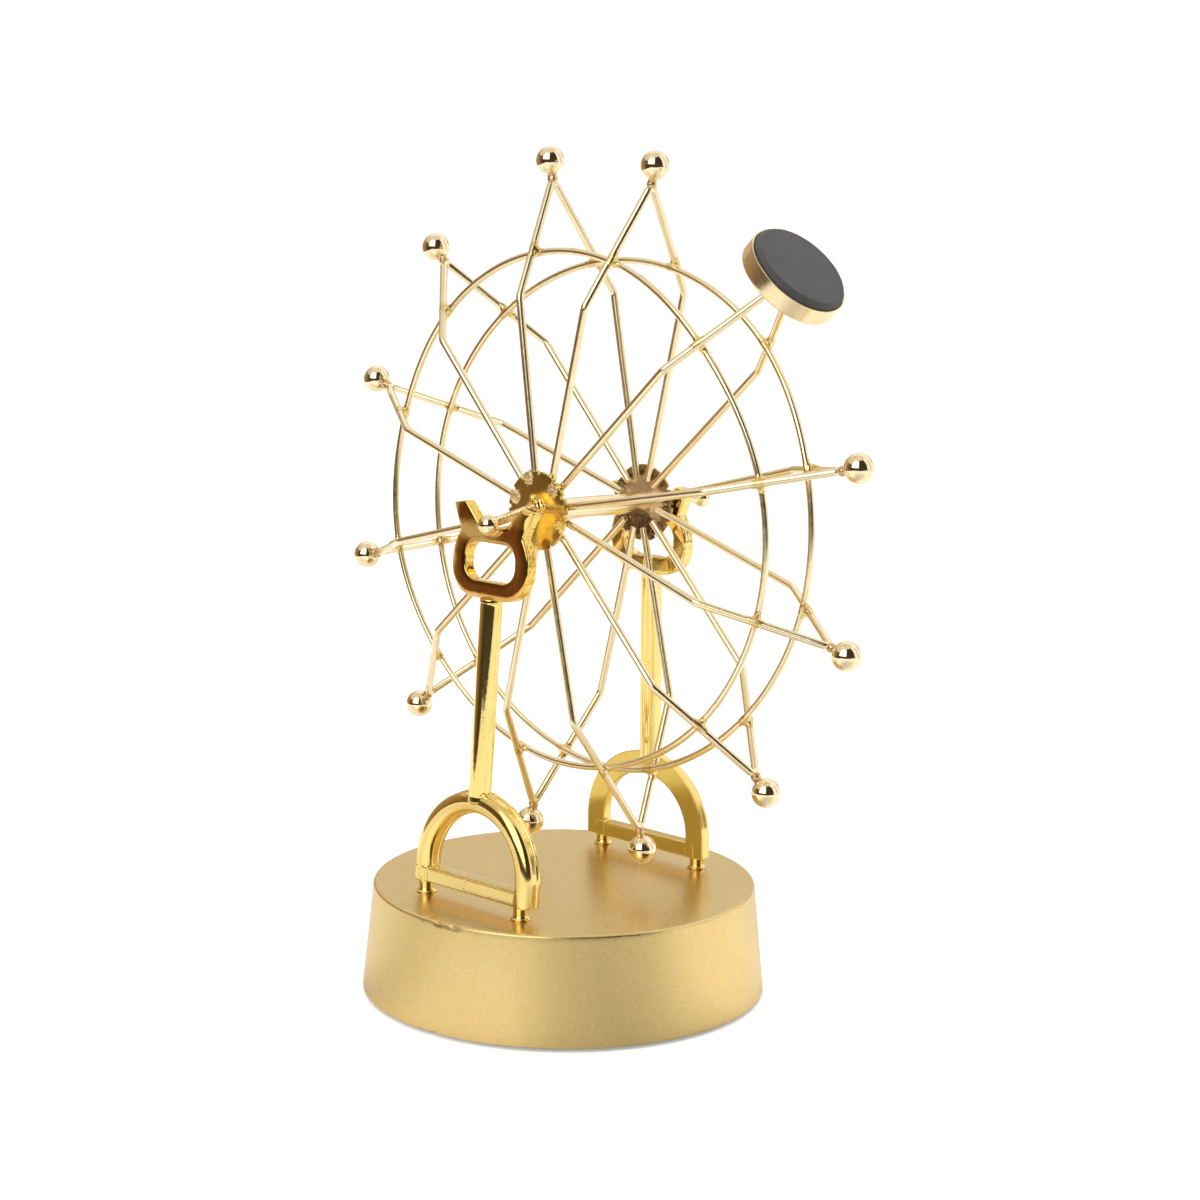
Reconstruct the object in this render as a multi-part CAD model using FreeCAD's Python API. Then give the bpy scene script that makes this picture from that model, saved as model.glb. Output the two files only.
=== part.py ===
import FreeCAD, Part
import math
import os

# Desk ferris wheel driven by a hidden coil: a round base, two stands that
# lean slightly towards each other, and a wire wheel whose axle rests in the
# open saddles of the stands.  Millimetres, +Z up, origin in the middle of the
# surface the feet stand on.  The axle runs along Y, the front stand is at -Y.

V = FreeCAD.Vector

# ---------------------------------------------------------------- base
PAD_H = 0.8            # how far the rubber pads lift the base
BASE_R_BOT = 50.0      # base radius at its lower edge
BASE_R_TOP = 47.4      # base radius just under the bevel
BASE_TOP = 27.2        # height of the flat top
BASE_BEVEL = 0.5
SHELL_WALL = 1.2
SHELL_ROOF = 1.4
PLATE_T = 2.0          # bottom plate thickness
PLATE_R = 48.55
PAD_R = 4.0
PAD_PCR = 41.5         # radius the pads sit on
SCREW_PCR = 41.5
CHASSIS_T = 2.2        # inner chassis disc under the roof

# ---------------------------------------------------------------- cells
CELL_R = 7.1
CELL_L = 49.2
CELL_NUB_R = 2.7
CELL_NUB_L = 1.3
CELL_DX = 7.6          # half the distance between the two cells
CELL_Z = 10.9
BAY_X = 15.8           # half width of the battery bay
BAY_Y = 30.0           # half length of the battery bay
BAY_ROOF = 18.4
BAY_WALL = 1.2
COVER_T = 1.6
COVER_GAP = 0.3

# ---------------------------------------------------------------- coil
COIL_R_OUT = 15.0
COIL_R_IN = 5.0
BOBBIN_R = 16.2
BOBBIN_FLANGE = 0.8
BOBBIN_LOW = 19.8
BOBBIN_HIGH = 25.7

# ---------------------------------------------------------------- stands
STAND_Y = 31.6         # distance of each stand's pins from the middle
PIN_X = 16.2
FRONT_LEAN = 4.3       # degrees, towards the wheel
REAR_LEAN = 0.8
FOOT_ARC_R = 17.45     # centreline of the D-shaped foot
FOOT_ARC_Z = 8.0
FOOT_BOT = 2.8
FOOT_W = 4.9
BEAD_W = 4.1           # the half-round bead on the foot's flange
FLANGE_Y = 1.25        # outer side of the flange
FOOT_D = 4.4
BAR_TOP = 6.5
POST_R = 2.6
HEAD_Z = 82.45         # height of the cradle ring's centre above the base top
HEAD_T = 3.4
SADDLE_R = 2.6
SADDLE_FRONT = 116.53  # lowest line of each saddle above the desk
SADDLE_REAR = 117.91
HEAD_SADDLE_FRONT = 7.3   # depth of the saddle in a head, above HEAD_Z
HEAD_SADDLE_REAR = 8.4

# ---------------------------------------------------------------- wheel
WHEEL_Y = 8.2          # the wheel sits towards the rear stand
WHEEL_Z = 118.384
WHEEL_TILT = -1.119    # front end ball lies in its saddle, rear rod in the other
AXLE_R = 1.2
AXLE_FRONT = (-35.5, 0.0)    # y, z of the front end ball's centre
AXLE_KNEE = (-21.5, 2.131)   # the rod is bent a little in front of the front hub
AXLE_REAR = (40.89, 0.915)
AXLE_BEND = 6.0
SPIN_LINE = ((-27.29, 119.077), (30.35, 119.23))   # y, z where the axle lies in the saddles
END_BALL_R = 2.5
HUB_Y = 18.8
HUB_R = 9.6
HUB_T = 1.2
HUB_NUT_R = 2.6
HUB_NUT_END = 20.8
TUBE_R = 2.6           # spacer tube between the hubs
WIRE_HUB_Y = 17.27     # the wires lie on the inner faces of the hubs
WIRE_HUB_R = 6.4       # where they end, from the middle of the hub
WIRE_R = 0.95
WIRE_BEND = 5.0
KNEE_Y = 16.8
RING_WIRE_R = 0.85
RING_SINK = 0.08       # how deep the ring wire is welded into the spoke wire
BALL_R = 3.5
WIRE_TIP = 4.55        # centre of a ball to the corner of its bent wire
WIRE_TIP_BEND = 1.2
NECK_R = 0.9           # solder neck between the wire and the ball
CUP_R = 13.3
CUP_DEPTH = 4.8
CUP_FLOOR = 1.2
MAGNET_R = 12.5
MAGNET_T = 6.0
MAGNET_FACE = 88.4     # distance of the magnet's face from the axle
MAGNET_ANGLE = 45.1
MAGNET_WIRE_Y = 3.0
TIP_BEND = 2.0

# name, (ball distance, ball angle), (front knee distance, angle, angle of the
# wire's end on the hub), (the same for the rear); angles in degrees from +X
# towards +Z; the wires are bent by hand, so no two spokes are quite alike
SPOKES = [
    ("01", (86.76, 101.39), (53.41, 100.68, 112.0), (53.83, 100.92, 99.0)),
    ("02", (86.29, 78.41), (52.57, 77.26, 66.5), (55.79, 76.50, 66.0)),
    ("03", (84.59, 132.47), (54.44, 132.05, 138.0), (51.41, 130.42, 127.0)),
    ("04", (83.32, 161.06), (51.68, 160.57, 166.0), (51.36, 160.68, 160.0)),
    ("05", (84.22, 193.82), (52.06, 192.72, 195.0), (51.20, 193.10, 194.6)),
    ("06", (83.32, 223.47), (48.90, 222.00, 227.0), (50.30, 223.90, 224.5)),
    ("07", (83.12, 257.07), (49.86, 256.78, 259.0), (50.04, 257.24, 257.0)),
    ("08", (83.26, 283.90), (49.67, 283.33, 279.5), (47.60, 285.35, 285.0)),
    ("09", (83.29, 314.33), (51.00, 315.90, 321.0), (49.88, 315.52, 316.5)),
    ("10", (83.44, 343.43), (51.03, 344.09, 347.0), (51.96, 345.09, 350.0)),
    ("11", (83.34, 373.20), (51.54, 373.13, 371.0), (51.50, 376.40, 374.0)),
]
MAGNET_SPOKE = ("12", (52.95, 46.19, 45.0), (52.51, 44.71, 45.5))

# ring radius against angle: mean, then cosine and sine parts of one to three
# waves around the ring
RING_FRONT = (61.82, 0.47, 0.95, -0.68, -1.00, 0.33, -0.19)
RING_REAR = (62.73, -0.08, -1.30, -0.11, 0.06, -0.32, 0.04)

os.makedirs("parts", exist_ok=True)


def save(name, shape):
    if shape.ShapeType == "Compound" and len(shape.Solids) == 1:
        shape = shape.Solids[0]
    shape.exportStep("parts/%s.step" % name)
    b = shape.BoundBox
    print("%-24s solids %2d  valid %s  vol %9.1f  z %.2f..%.2f" % (
        name, len(shape.Solids), shape.isValid(), shape.Volume, b.ZMin, b.ZMax))


def group(shapes):
    return Part.makeCompound(shapes)


def cyl(r, h, base, axis=V(0, 0, 1)):
    return Part.makeCylinder(r, h, base, axis)


def box(x0, x1, y0, y1, z0, z1):
    return Part.makeBox(x1 - x0, y1 - y0, z1 - z0, V(x0, y0, z0))


def revolve(points):
    """Solid of revolution about Z from (r, z) corners."""
    wire = Part.makePolygon([V(r, 0, z) for r, z in points] + [V(points[0][0], 0, points[0][1])])
    return Part.Face(wire).revolve(V(0, 0, 0), V(0, 0, 1), 360)


def soften(shape, edges, radius):
    for k in (1.0, 0.8, 0.6, 0.4):
        try:
            s = shape.makeFillet(radius * k, edges)
            if s.isValid() and s.Volume > 0:
                return s
        except Exception:
            pass
    print("fillet left out", radius)
    return shape


# ================================================================ base
def build_base():
    zb = PAD_H
    shell = revolve([
        (BASE_R_BOT, zb), (BASE_R_TOP, BASE_TOP - BASE_BEVEL),
        (BASE_R_TOP - BASE_BEVEL, BASE_TOP), (0, BASE_TOP),
        (0, BASE_TOP - SHELL_ROOF),
        (BASE_R_TOP - SHELL_WALL, BASE_TOP - SHELL_ROOF),
        (BASE_R_BOT - SHELL_WALL, zb)])
    holes = [cyl(1.65, 6, V(sx * PIN_X, sy * STAND_Y, BASE_TOP - 4))
             for sx in (-1, 1) for sy in (-1, 1)]
    for h in holes:
        shell = shell.cut(h)

    # chassis: a disc under the roof with a seat for the coil, four nut
    # pockets and three hollow columns for the bottom screws
    top = BASE_TOP - SHELL_ROOF
    low = top - CHASSIS_T
    r_top = BASE_R_TOP - SHELL_WALL - 0.4
    chassis = cyl(r_top, CHASSIS_T, V(0, 0, low))
    chassis = chassis.cut(cyl(BOBBIN_R + 0.2, CHASSIS_T + 2, V(0, 0, low - 1)))
    for sx in (-1, 1):
        for sy in (-1, 1):
            chassis = chassis.cut(cyl(1.65, 6, V(sx * PIN_X, sy * STAND_Y, low - 1)))
    columns = []
    for a in (20, 160, 270):
        c = V(SCREW_PCR * math.cos(math.radians(a)), SCREW_PCR * math.sin(math.radians(a)), 0)
        columns.append(c)
        col = cyl(3.2, low - (zb + PLATE_T) + 0.5, V(c.x, c.y, zb + PLATE_T))
        chassis = chassis.fuse(col)
    for c in columns:
        chassis = chassis.cut(cyl(1.2, 12, V(c.x, c.y, zb)))
    chassis = chassis.removeSplitter()

    # bottom plate with the battery bay standing on it
    plate = cyl(PLATE_R, PLATE_T, V(0, 0, zb))
    bay_out = box(-BAY_X - BAY_WALL, BAY_X + BAY_WALL, -BAY_Y - BAY_WALL, BAY_Y + BAY_WALL,
                  zb + PLATE_T - 0.2, BAY_ROOF + BAY_WALL)
    plate = plate.fuse(bay_out)
    plate = plate.cut(box(-BAY_X, BAY_X, -BAY_Y, BAY_Y, zb + COVER_T + 0.15, BAY_ROOF))
    # mouth of the bay, a ledge at its front edge and the cover's recess
    plate = plate.cut(box(-BAY_X, BAY_X, -BAY_Y + 2.4, BAY_Y, zb - 1, zb + COVER_T + 1))
    screws = []
    for c in columns:
        plate = plate.cut(cyl(1.65, 5, V(c.x, c.y, zb - 1)))
        plate = plate.cut(cyl(2.9, 1.2, V(c.x, c.y, zb - 0.1)))
    pads = []
    for a in (45, 135, 225, 315):
        c = V(PAD_PCR * math.cos(math.radians(a)), PAD_PCR * math.sin(math.radians(a)), 0)
        plate = plate.cut(cyl(PAD_R + 0.1, 1.5, V(c.x, c.y, zb - 1.0)))
        pad = cyl(PAD_R, zb + 0.5, V(c.x, c.y, 0))
        pad = soften(pad, [e for e in pad.Edges if e.BoundBox.ZMax < 0.01], 0.3)
        pads.append(pad)
    plate = plate.removeSplitter()

    # screws: pan head in the counterbore, shank up into the column
    for c in columns:
        head = cyl(2.6, 1.0, V(c.x, c.y, zb + 0.1))
        head = soften(head, [e for e in head.Edges if e.BoundBox.ZMax < zb + 0.11], 0.4)
        slot = box(c.x - 1.5, c.x + 1.5, c.y - 0.25, c.y + 0.25, zb, zb + 0.65)
        slot2 = box(c.x - 0.25, c.x + 0.25, c.y - 1.5, c.y + 1.5, zb, zb + 0.65)
        s = head.cut(slot).cut(slot2).fuse(cyl(1.2, 9.0, V(c.x, c.y, zb + 1.05)))
        screws.append(s.removeSplitter())

    save("base_shell", shell)
    save("inner_chassis", chassis)
    save("bottom_plate", plate)
    save("bottom_screws", group(screws))
    save("rubber_pads", group(pads))


def build_cover():
    # swings on its front edge; two tongues reach over the plate's ledge
    zb = PAD_H
    y0 = -BAY_Y + 2.4 + COVER_GAP
    y1 = BAY_Y - COVER_GAP
    x1 = BAY_X - COVER_GAP
    cover = box(-x1, x1, y0, y1, zb, zb + COVER_T)
    for x in (-9.0, 9.0):
        tongue = box(x - 2.5, x + 2.5, y0 - 1.5, y0 + 2.0, zb + COVER_T + 0.45, zb + COVER_T + 1.25)
        root = box(x - 2.5, x + 2.5, y0 + 0.3, y0 + 2.0, zb + COVER_T - 0.5, zb + COVER_T + 1.0)
        cover = cover.fuse(tongue).fuse(root)
    # finger recess with ribs near the free end
    recess = box(-5.0, 5.0, y1 - 9.0, y1 - 3.0, zb - 1, zb + 0.6)
    cover = cover.cut(recess)
    for k in range(4):
        y = y1 - 8.2 + 1.5 * k
        cover = cover.fuse(box(-5.2, 5.2, y, y + 0.6, zb + 0.1, zb + 0.8))
    cover = cover.removeSplitter()
    save("battery_cover", cover)


def build_electrics():
    cells = []
    for s in (-1, 1):
        x = s * CELL_DX
        y0 = -CELL_L / 2 - s * 1.0
        body = cyl(CELL_R, CELL_L, V(x, y0, CELL_Z), V(0, 1, 0))
        body = soften(body, body.Edges, 0.6)
        nub_y = y0 + CELL_L - 0.2 if s > 0 else y0 - CELL_NUB_L
        nub = cyl(CELL_NUB_R, CELL_NUB_L + 0.2, V(x, nub_y, CELL_Z), V(0, 1, 0))
        cells.append(body.fuse(nub).removeSplitter())
    save("battery_cells", group(cells))

    # contacts: a bridging strip at the rear end, two separate tabs at the
    # front end; flat against a cell's nub, a coned spring behind its base
    def spring(x, y_wall, y_cell):
        n = 4
        length = abs(y_cell - y_wall) - 0.35
        sgn = 1 if y_cell > y_wall else -1
        pts = []
        steps = n * 16
        for i in range(steps + 1):
            t = i / steps
            a = 2 * math.pi * n * t
            r = 4.6 - 2.2 * t
            pts.append(V(x + r * math.cos(a), y_wall + sgn * (0.32 + (length - 0.32) * t),
                         CELL_Z + r * math.sin(a)))
        curve = Part.BSplineCurve()
        curve.interpolate(pts)
        path = Part.Wire([curve.toShape()])
        d = curve.tangent(curve.FirstParameter)[0]
        prof = Part.Wire([Part.Circle(pts[0], d, 0.3).toShape()])
        pipe = path.makePipeShell([prof], True, True)
        return pipe

    z0, z1 = CELL_Z - 5.5, CELL_Z + 5.5
    ya, yb = -BAY_Y, BAY_Y
    rear_cell_end_neg = CELL_L / 2 + 1.0       # cell at -X: flat base towards +Y
    front_cell_end_pos = -CELL_L / 2 - 1.0     # cell at +X: flat base towards -Y
    strip = box(-CELL_DX - 5, CELL_DX + 5, yb - 0.4, yb - 0.05, z0, z1)
    s1 = spring(-CELL_DX, yb - 0.4, rear_cell_end_neg)
    bump1 = cyl(2.2, yb - 0.4 - (CELL_L / 2 - 1.0 + CELL_NUB_L) - 0.05,
                V(CELL_DX, CELL_L / 2 - 1.0 + CELL_NUB_L + 0.05, CELL_Z), V(0, 1, 0))
    save("rear_contact_strip", strip.fuse(bump1).removeSplitter())
    tab_a = box(CELL_DX - 5, CELL_DX + 5, ya + 0.05, ya + 0.4, z0, z1)
    tab_b = box(-CELL_DX - 5, -CELL_DX + 5, ya + 0.05, ya + 0.4, z0, z1)
    y_nub = -CELL_L / 2 + 1.0 - CELL_NUB_L
    bump2 = cyl(2.2, (y_nub - 0.05) - (ya + 0.4), V(-CELL_DX, ya + 0.4, CELL_Z), V(0, 1, 0))
    save("front_contact_tabs", group([tab_a, tab_b.fuse(bump2).removeSplitter()]))
    s2 = spring(CELL_DX, ya + 0.4, front_cell_end_pos)
    save("contact_springs", group([s1, s2]))

    # coil on its bobbin, right under the roof
    h = BOBBIN_HIGH - BOBBIN_LOW
    bob = cyl(COIL_R_IN, h, V(0, 0, BOBBIN_LOW))
    bob = bob.fuse(cyl(BOBBIN_R, BOBBIN_FLANGE, V(0, 0, BOBBIN_LOW)))
    bob = bob.fuse(cyl(BOBBIN_R, BOBBIN_FLANGE, V(0, 0, BOBBIN_HIGH - BOBBIN_FLANGE)))
    bob = bob.cut(cyl(COIL_R_IN - 1.0, h + 2, V(0, 0, BOBBIN_LOW - 1))).removeSplitter()
    save("coil_bobbin", bob)
    hz = h - 2 * BOBBIN_FLANGE
    coil = cyl(COIL_R_OUT, hz - 0.04, V(0, 0, BOBBIN_LOW + BOBBIN_FLANGE + 0.02))
    coil = coil.cut(cyl(COIL_R_IN + 0.02, hz + 2, V(0, 0, BOBBIN_LOW)))
    save("drive_coil", coil)

    # circuit board lying on the plate beside the bay, its parts on top
    bz = PAD_H + PLATE_T + 3.0
    board = box(20.5, 34.5, -14.0, 14.0, bz, bz + 1.2)
    posts = []
    for y in (-11.0, 11.0):
        posts.append(cyl(1.6, 3.0, V(27.5, y, PAD_H + PLATE_T)))
        board = board.cut(cyl(0.9, 3, V(27.5, y, bz - 1)))
    save("circuit_board", board)
    save("board_posts", group([p.fuse(cyl(0.85, 1.8, V(p.BoundBox.Center.x, p.BoundBox.Center.y, bz)))
                               .removeSplitter() for p in posts]))
    tr = cyl(2.3, 4.6, V(25.0, 3.5, bz + 3.0)).cut(box(20, 23.6, 0, 8, bz, bz + 10))
    legs = [cyl(0.25, 1.85, V(25.0, 3.5 + d, bz + 1.2)) for d in (-1.2, 0.0, 1.2)]
    t = tr
    for g in legs:
        t = t.fuse(g)
    save("transistor", t.removeSplitter())
    cap = cyl(3.1, 7.5, V(29.5, -4.0, bz + 1.25))
    cap = soften(cap, [e for e in cap.Edges if e.BoundBox.ZMin > bz + 8], 0.5)
    save("capacitor", cap)

    def lead(points, r=0.55):
        curve = Part.BSplineCurve()
        curve.interpolate([V(*p) for p in points])
        d = curve.tangent(curve.FirstParameter)[0]
        prof = Part.Wire([Part.Circle(V(*points[0]), d, r).toShape()])
        return Part.Wire([curve.toShape()]).makePipeShell([prof], True, True)

    leads = [
        lead([(17.8, -22.0, 5.2), (20.0, -21.0, 6.4), (22.5, -17.0, 9.0), (23.0, -12.0, 9.0), (23.0, -10.0, 7.62)]),
        lead([(-17.8, -24.0, 5.0), (-20.0, -29.5, 5.2), (-15.0, -34.5, 5.4), (0.0, -35.5, 5.4), (14.0, -34.5, 5.6),
              (22.5, -27.0, 7.0), (26.0, -17.0, 9.6), (26.5, -9.0, 7.62)]),
        lead([(16.8, 2.0, 21.8), (19.5, 3.0, 20.5), (22.0, 6.5, 15.5), (22.6, 9.0, 10.0), (22.6, 9.5, 7.62)]),
        lead([(16.8, -2.0, 21.8), (19.8, -2.0, 20.2), (22.0, -1.5, 15.0), (22.0, -1.0, 10.0), (22.0, -1.0, 7.62)]),
    ]
    save("lead_wires", group(leads))


# ================================================================ stands
def side_frame(side):
    """Placement of a stand: built with its outer face towards -Y."""
    if side == "front":
        rot = FreeCAD.Rotation(V(1, 0, 0), -FRONT_LEAN)
        return FreeCAD.Placement(V(0, -STAND_Y, BASE_TOP), rot)
    rot = FreeCAD.Rotation(V(0, 0, 1), 180).multiply(FreeCAD.Rotation(V(1, 0, 0), -REAR_LEAN))
    return FreeCAD.Placement(V(0, STAND_Y, BASE_TOP), rot)


def place(shape, pl):
    s = shape.copy()
    s.transformShape(pl.toMatrix(), False, False)
    return s


def foot_shape():
    w, d, b = FOOT_W / 2, FOOT_D / 2, BEAD_W / 2
    x0, z0 = -FOOT_ARC_R, FOOT_BOT
    q = 0.3

    def P(a, b):
        return V(x0 + a, b, z0)
    prof = Part.Wire([
        Part.LineSegment(P(-b, -0.2), P(-b, FLANGE_Y)).toShape(),
        Part.LineSegment(P(-b, FLANGE_Y), P(-w, FLANGE_Y)).toShape(),
        Part.LineSegment(P(-w, FLANGE_Y), P(-w, d - q)).toShape(),
        Part.Arc(P(-w, d - q), P(-w + q * 0.293, d - q * 0.293), P(-w + q, d)).toShape(),
        Part.LineSegment(P(-w + q, d), P(w - q, d)).toShape(),
        Part.Arc(P(w - q, d), P(w - q * 0.293, d - q * 0.293), P(w, d - q)).toShape(),
        Part.LineSegment(P(w, d - q), P(w, FLANGE_Y)).toShape(),
        Part.LineSegment(P(w, FLANGE_Y), P(b, FLANGE_Y)).toShape(),
        Part.LineSegment(P(b, FLANGE_Y), P(b, -0.2)).toShape(),
        Part.Arc(P(b, -0.2), P(0, -d), P(-b, -0.2)).toShape(),
    ])
    R, zc = FOOT_ARC_R, FOOT_ARC_Z
    path = Part.Wire([
        Part.LineSegment(V(-R, 0, z0), V(-R, 0, zc)).toShape(),
        Part.Arc(V(-R, 0, zc), V(0, 0, zc + R), V(R, 0, zc)).toShape(),
        Part.LineSegment(V(R, 0, zc), V(R, 0, z0)).toShape(),
    ])
    arch = path.makePipeShell([prof], True, False)
    bar = box(-R, R, -1.7, d, z0, BAR_TOP)
    # front top edge eased
    bar = soften(bar, [e for e in bar.Edges
                       if e.BoundBox.YMax < -1.6 and e.BoundBox.ZMin > BAR_TOP - 0.1
                       and e.BoundBox.XLength > 5], 0.5)
    return arch.fuse(bar).removeSplitter()


def head_outline(low):
    z = HEAD_Z

    def P(x, y):
        return V(x, 0, z + y)
    r = SADDLE_R
    cz = low + r
    a = math.radians(68)
    g = (r * math.sin(a), cz - r * math.cos(a))
    m = (r * math.sin(a / 2), cz - r * math.cos(a / 2))
    edges = []

    def line(p, q):
        edges.append(Part.LineSegment(P(*p), P(*q)).toShape())

    def arc(p, q, s):
        edges.append(Part.Arc(P(*p), P(*q), P(*s)).toShape())
    line((-5.2, -8.3), (5.2, -8.3))
    k = 7.4 * math.sqrt(0.5)
    arc((5.2, -8.3), (5.2 + k, -0.9 - k), (12.6, -0.9))
    line((12.6, -0.9), (12.6, 0.8))
    n = (4.3, g[1] + 0.45)
    arc((12.6, 0.8), (11.9, 4.2), (10.3, 7.2))
    line((10.3, 7.2), (12.5, 13.5))
    line((12.5, 13.5), (8.8, 14.35))
    line((8.8, 14.35), n)
    line(n, g)
    arc(g, (0, low), (-g[0], g[1]))
    line((-g[0], g[1]), (-n[0], n[1]))
    line((-n[0], n[1]), (-8.8, 14.35))
    line((-8.8, 14.35), (-12.5, 13.5))
    line((-12.5, 13.5), (-10.3, 7.2))
    arc((-10.3, 7.2), (-11.9, 4.2), (-12.6, 0.8))
    line((-12.6, 0.8), (-12.6, -0.9))
    arc((-12.6, -0.9), (-5.2 - k, -0.9 - k), (-5.2, -8.3))
    return Part.Wire(edges)


def head_shape(low):
    outer = Part.Face(head_outline(low)).extrude(V(0, HEAD_T, 0))
    outer.translate(V(0, -HEAD_T / 2, 0))
    # corners seen from the front
    corners = [e for e in outer.Edges
               if e.BoundBox.XLength < 1e-4 and e.BoundBox.ZLength < 1e-4]
    tips = [e for e in corners if e.BoundBox.ZMin > HEAD_Z + 13]
    outer = soften(outer, tips, 0.7)
    waist = [e for e in outer.Edges
             if e.BoundBox.XLength < 1e-4 and e.BoundBox.ZLength < 1e-4
             and abs(e.BoundBox.ZMin - (HEAD_Z + 7.2)) < 0.01]
    outer = soften(outer, waist, 2.0)
    hole = box(-8.25, 8.25, -3, 3, HEAD_Z - 4.0, HEAD_Z + 5.0)
    hole = soften(hole, [e for e in hole.Edges if e.BoundBox.YLength > 5], 3.8)
    body = outer.cut(hole)
    rim = [e for e in body.Edges
           if abs(abs(e.BoundBox.YMin) - HEAD_T / 2) < 1e-3 and e.BoundBox.YLength < 1e-3
           and not (e.BoundBox.ZMax < HEAD_Z + low + 1.9 and e.BoundBox.ZMin > HEAD_Z + low - 0.3
                    and abs(e.BoundBox.Center.x) < 3.0)]
    return soften(body, rim, 0.9)


def build_stands():
    foot = foot_shape()
    heads = {"front": head_shape(HEAD_SADDLE_FRONT), "rear": head_shape(HEAD_SADDLE_REAR)}
    post = cyl(POST_R, HEAD_Z - 7.2 - 25.5, V(0, 0, 25.5))
    collar = cyl(POST_R + 0.25, 0.9, V(0, 0, HEAD_Z - 8.3 - 1.0))
    post = post.fuse(collar).cut(foot).cut(heads["front"])
    post = max(post.Solids, key=lambda s: s.Volume)

    (ya, za), (yb, zb) = SPIN_LINE
    along = V(0, yb - ya, zb - za).normalize()
    pins, nuts = [], []
    shapes = {}
    for side in ("front", "rear"):
        pl = side_frame(side)
        f, h, p = place(foot, pl), place(heads[side], pl), place(post, pl)
        # the saddle is dressed to lie along the axle
        yc = -24.9 if side == "front" else 30.35
        low = SADDLE_FRONT if side == "front" else SADDLE_REAR
        start = V(0, yc, low + SADDLE_R) - along * 12
        h = h.cut(cyl(SADDLE_R, 24, start, along))
        shapes[side] = [f, p, h]
    for sy, side in ((-1, "front"), (1, "rear")):
        for sx in (-1, 1):
            x, y = sx * PIN_X, sy * STAND_Y
            low = BASE_TOP - SHELL_ROOF - CHASSIS_T
            stud = cyl(1.5, BASE_TOP - (low - 3.4), V(x, y, low - 3.4))
            body = cyl(1.9, 4.2, V(x, y, BASE_TOP))
            flange = cyl(2.5, 0.45, V(x, y, BASE_TOP))
            s = stud.fuse(body).fuse(flange).removeSplitter()
            pins.append(s)
            shapes[side][0] = shapes[side][0].cut(s)
            hexa = Part.Face(Part.makePolygon(
                [V(x + 3.1 * math.cos(math.radians(60 * k)), y + 3.1 * math.sin(math.radians(60 * k)), low - 2.4)
                 for k in range(7)])).extrude(V(0, 0, 2.38))
            nuts.append(hexa.cut(cyl(1.5, 6, V(x, y, low - 4))))
    for side in ("front", "rear"):
        f, p, h = shapes[side]
        save(side + "_foot", f)
        save(side + "_post", p)
        save(side + "_cradle", h)
    save("stand_pins", group(pins))
    save("pin_nuts", group(nuts))


# ================================================================ wheel
def polar(r, ang, y):
    a = math.radians(ang)
    return V(r * math.cos(a), y, r * math.sin(a))


def bent_wire(points, bends, r):
    """Round wire along straight runs joined by tangent arcs at the inner points."""
    edges = []
    start = points[0]
    first = (points[1] - points[0]).normalize()
    for i in range(1, len(points) - 1):
        a, k, e = points[i - 1], points[i], points[i + 1]
        u1 = (k - a).normalize()
        u2 = (e - k).normalize()
        phi = u1.getAngle(u2)
        bend = bends[i - 1]
        t = bend * math.tan(phi / 2)
        p1 = k - u1 * t
        p2 = k + u2 * t
        n = (u2 - u1).normalize()
        c = k + n * (bend / math.cos(phi / 2))
        edges.append(Part.LineSegment(start, p1).toShape())
        edges.append(Part.Arc(p1, c - n * bend, p2).toShape())
        start = p2
    edges.append(Part.LineSegment(start, points[-1]).toShape())
    prof = Part.Wire([Part.Circle(points[0], first, r).toShape()])
    return Part.Wire(edges).makePipeShell([prof], True, False)


def ball_with_neck(reach):
    """Ball centred at the origin with a solder neck down to -reach, one revolved face."""
    zs = -math.sqrt(BALL_R ** 2 - NECK_R ** 2)
    edges = [
        Part.Arc(V(0, 0, BALL_R), V(BALL_R, 0, 0), V(NECK_R, 0, zs)).toShape(),
        Part.LineSegment(V(NECK_R, 0, zs), V(0.8 * NECK_R, 0, -reach)).toShape(),
        Part.LineSegment(V(0.8 * NECK_R, 0, -reach), V(0, 0, -reach)).toShape(),
        Part.LineSegment(V(0, 0, -reach), V(0, 0, BALL_R)).toShape(),
    ]
    return Part.Face(Part.Wire(edges)).revolve(V(0, 0, 0), V(0, 0, 1), 360)


def ring_radius(table, ang):
    t = math.radians(ang)
    r = table[0]
    for k in (1, 2, 3):
        r += table[2 * k - 1] * math.cos(k * t) + table[2 * k] * math.sin(k * t)
    return r


def weld_point(knee, tip, tip_y, side, table):
    """Centre of the ring wire where it lies against the inside of a spoke."""
    rk, ak = knee[:2]
    re, ae = tip
    off = WIRE_R + RING_WIRE_R - RING_SINK
    dy = KNEE_Y - tip_y
    dr = re - rk
    ln = math.hypot(dr, dy)
    # unit normal that points to the axle and to the middle plane
    nr, ny = -dy / ln, dr / ln
    want = ring_radius(table, ak)
    rho = want - nr * off
    s = (rho - rk) / dr
    ang = ak + (ae - ak) * s
    y = KNEE_Y - dy * s - ny * off
    return ang, polar(want, ang, side * y)


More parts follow.
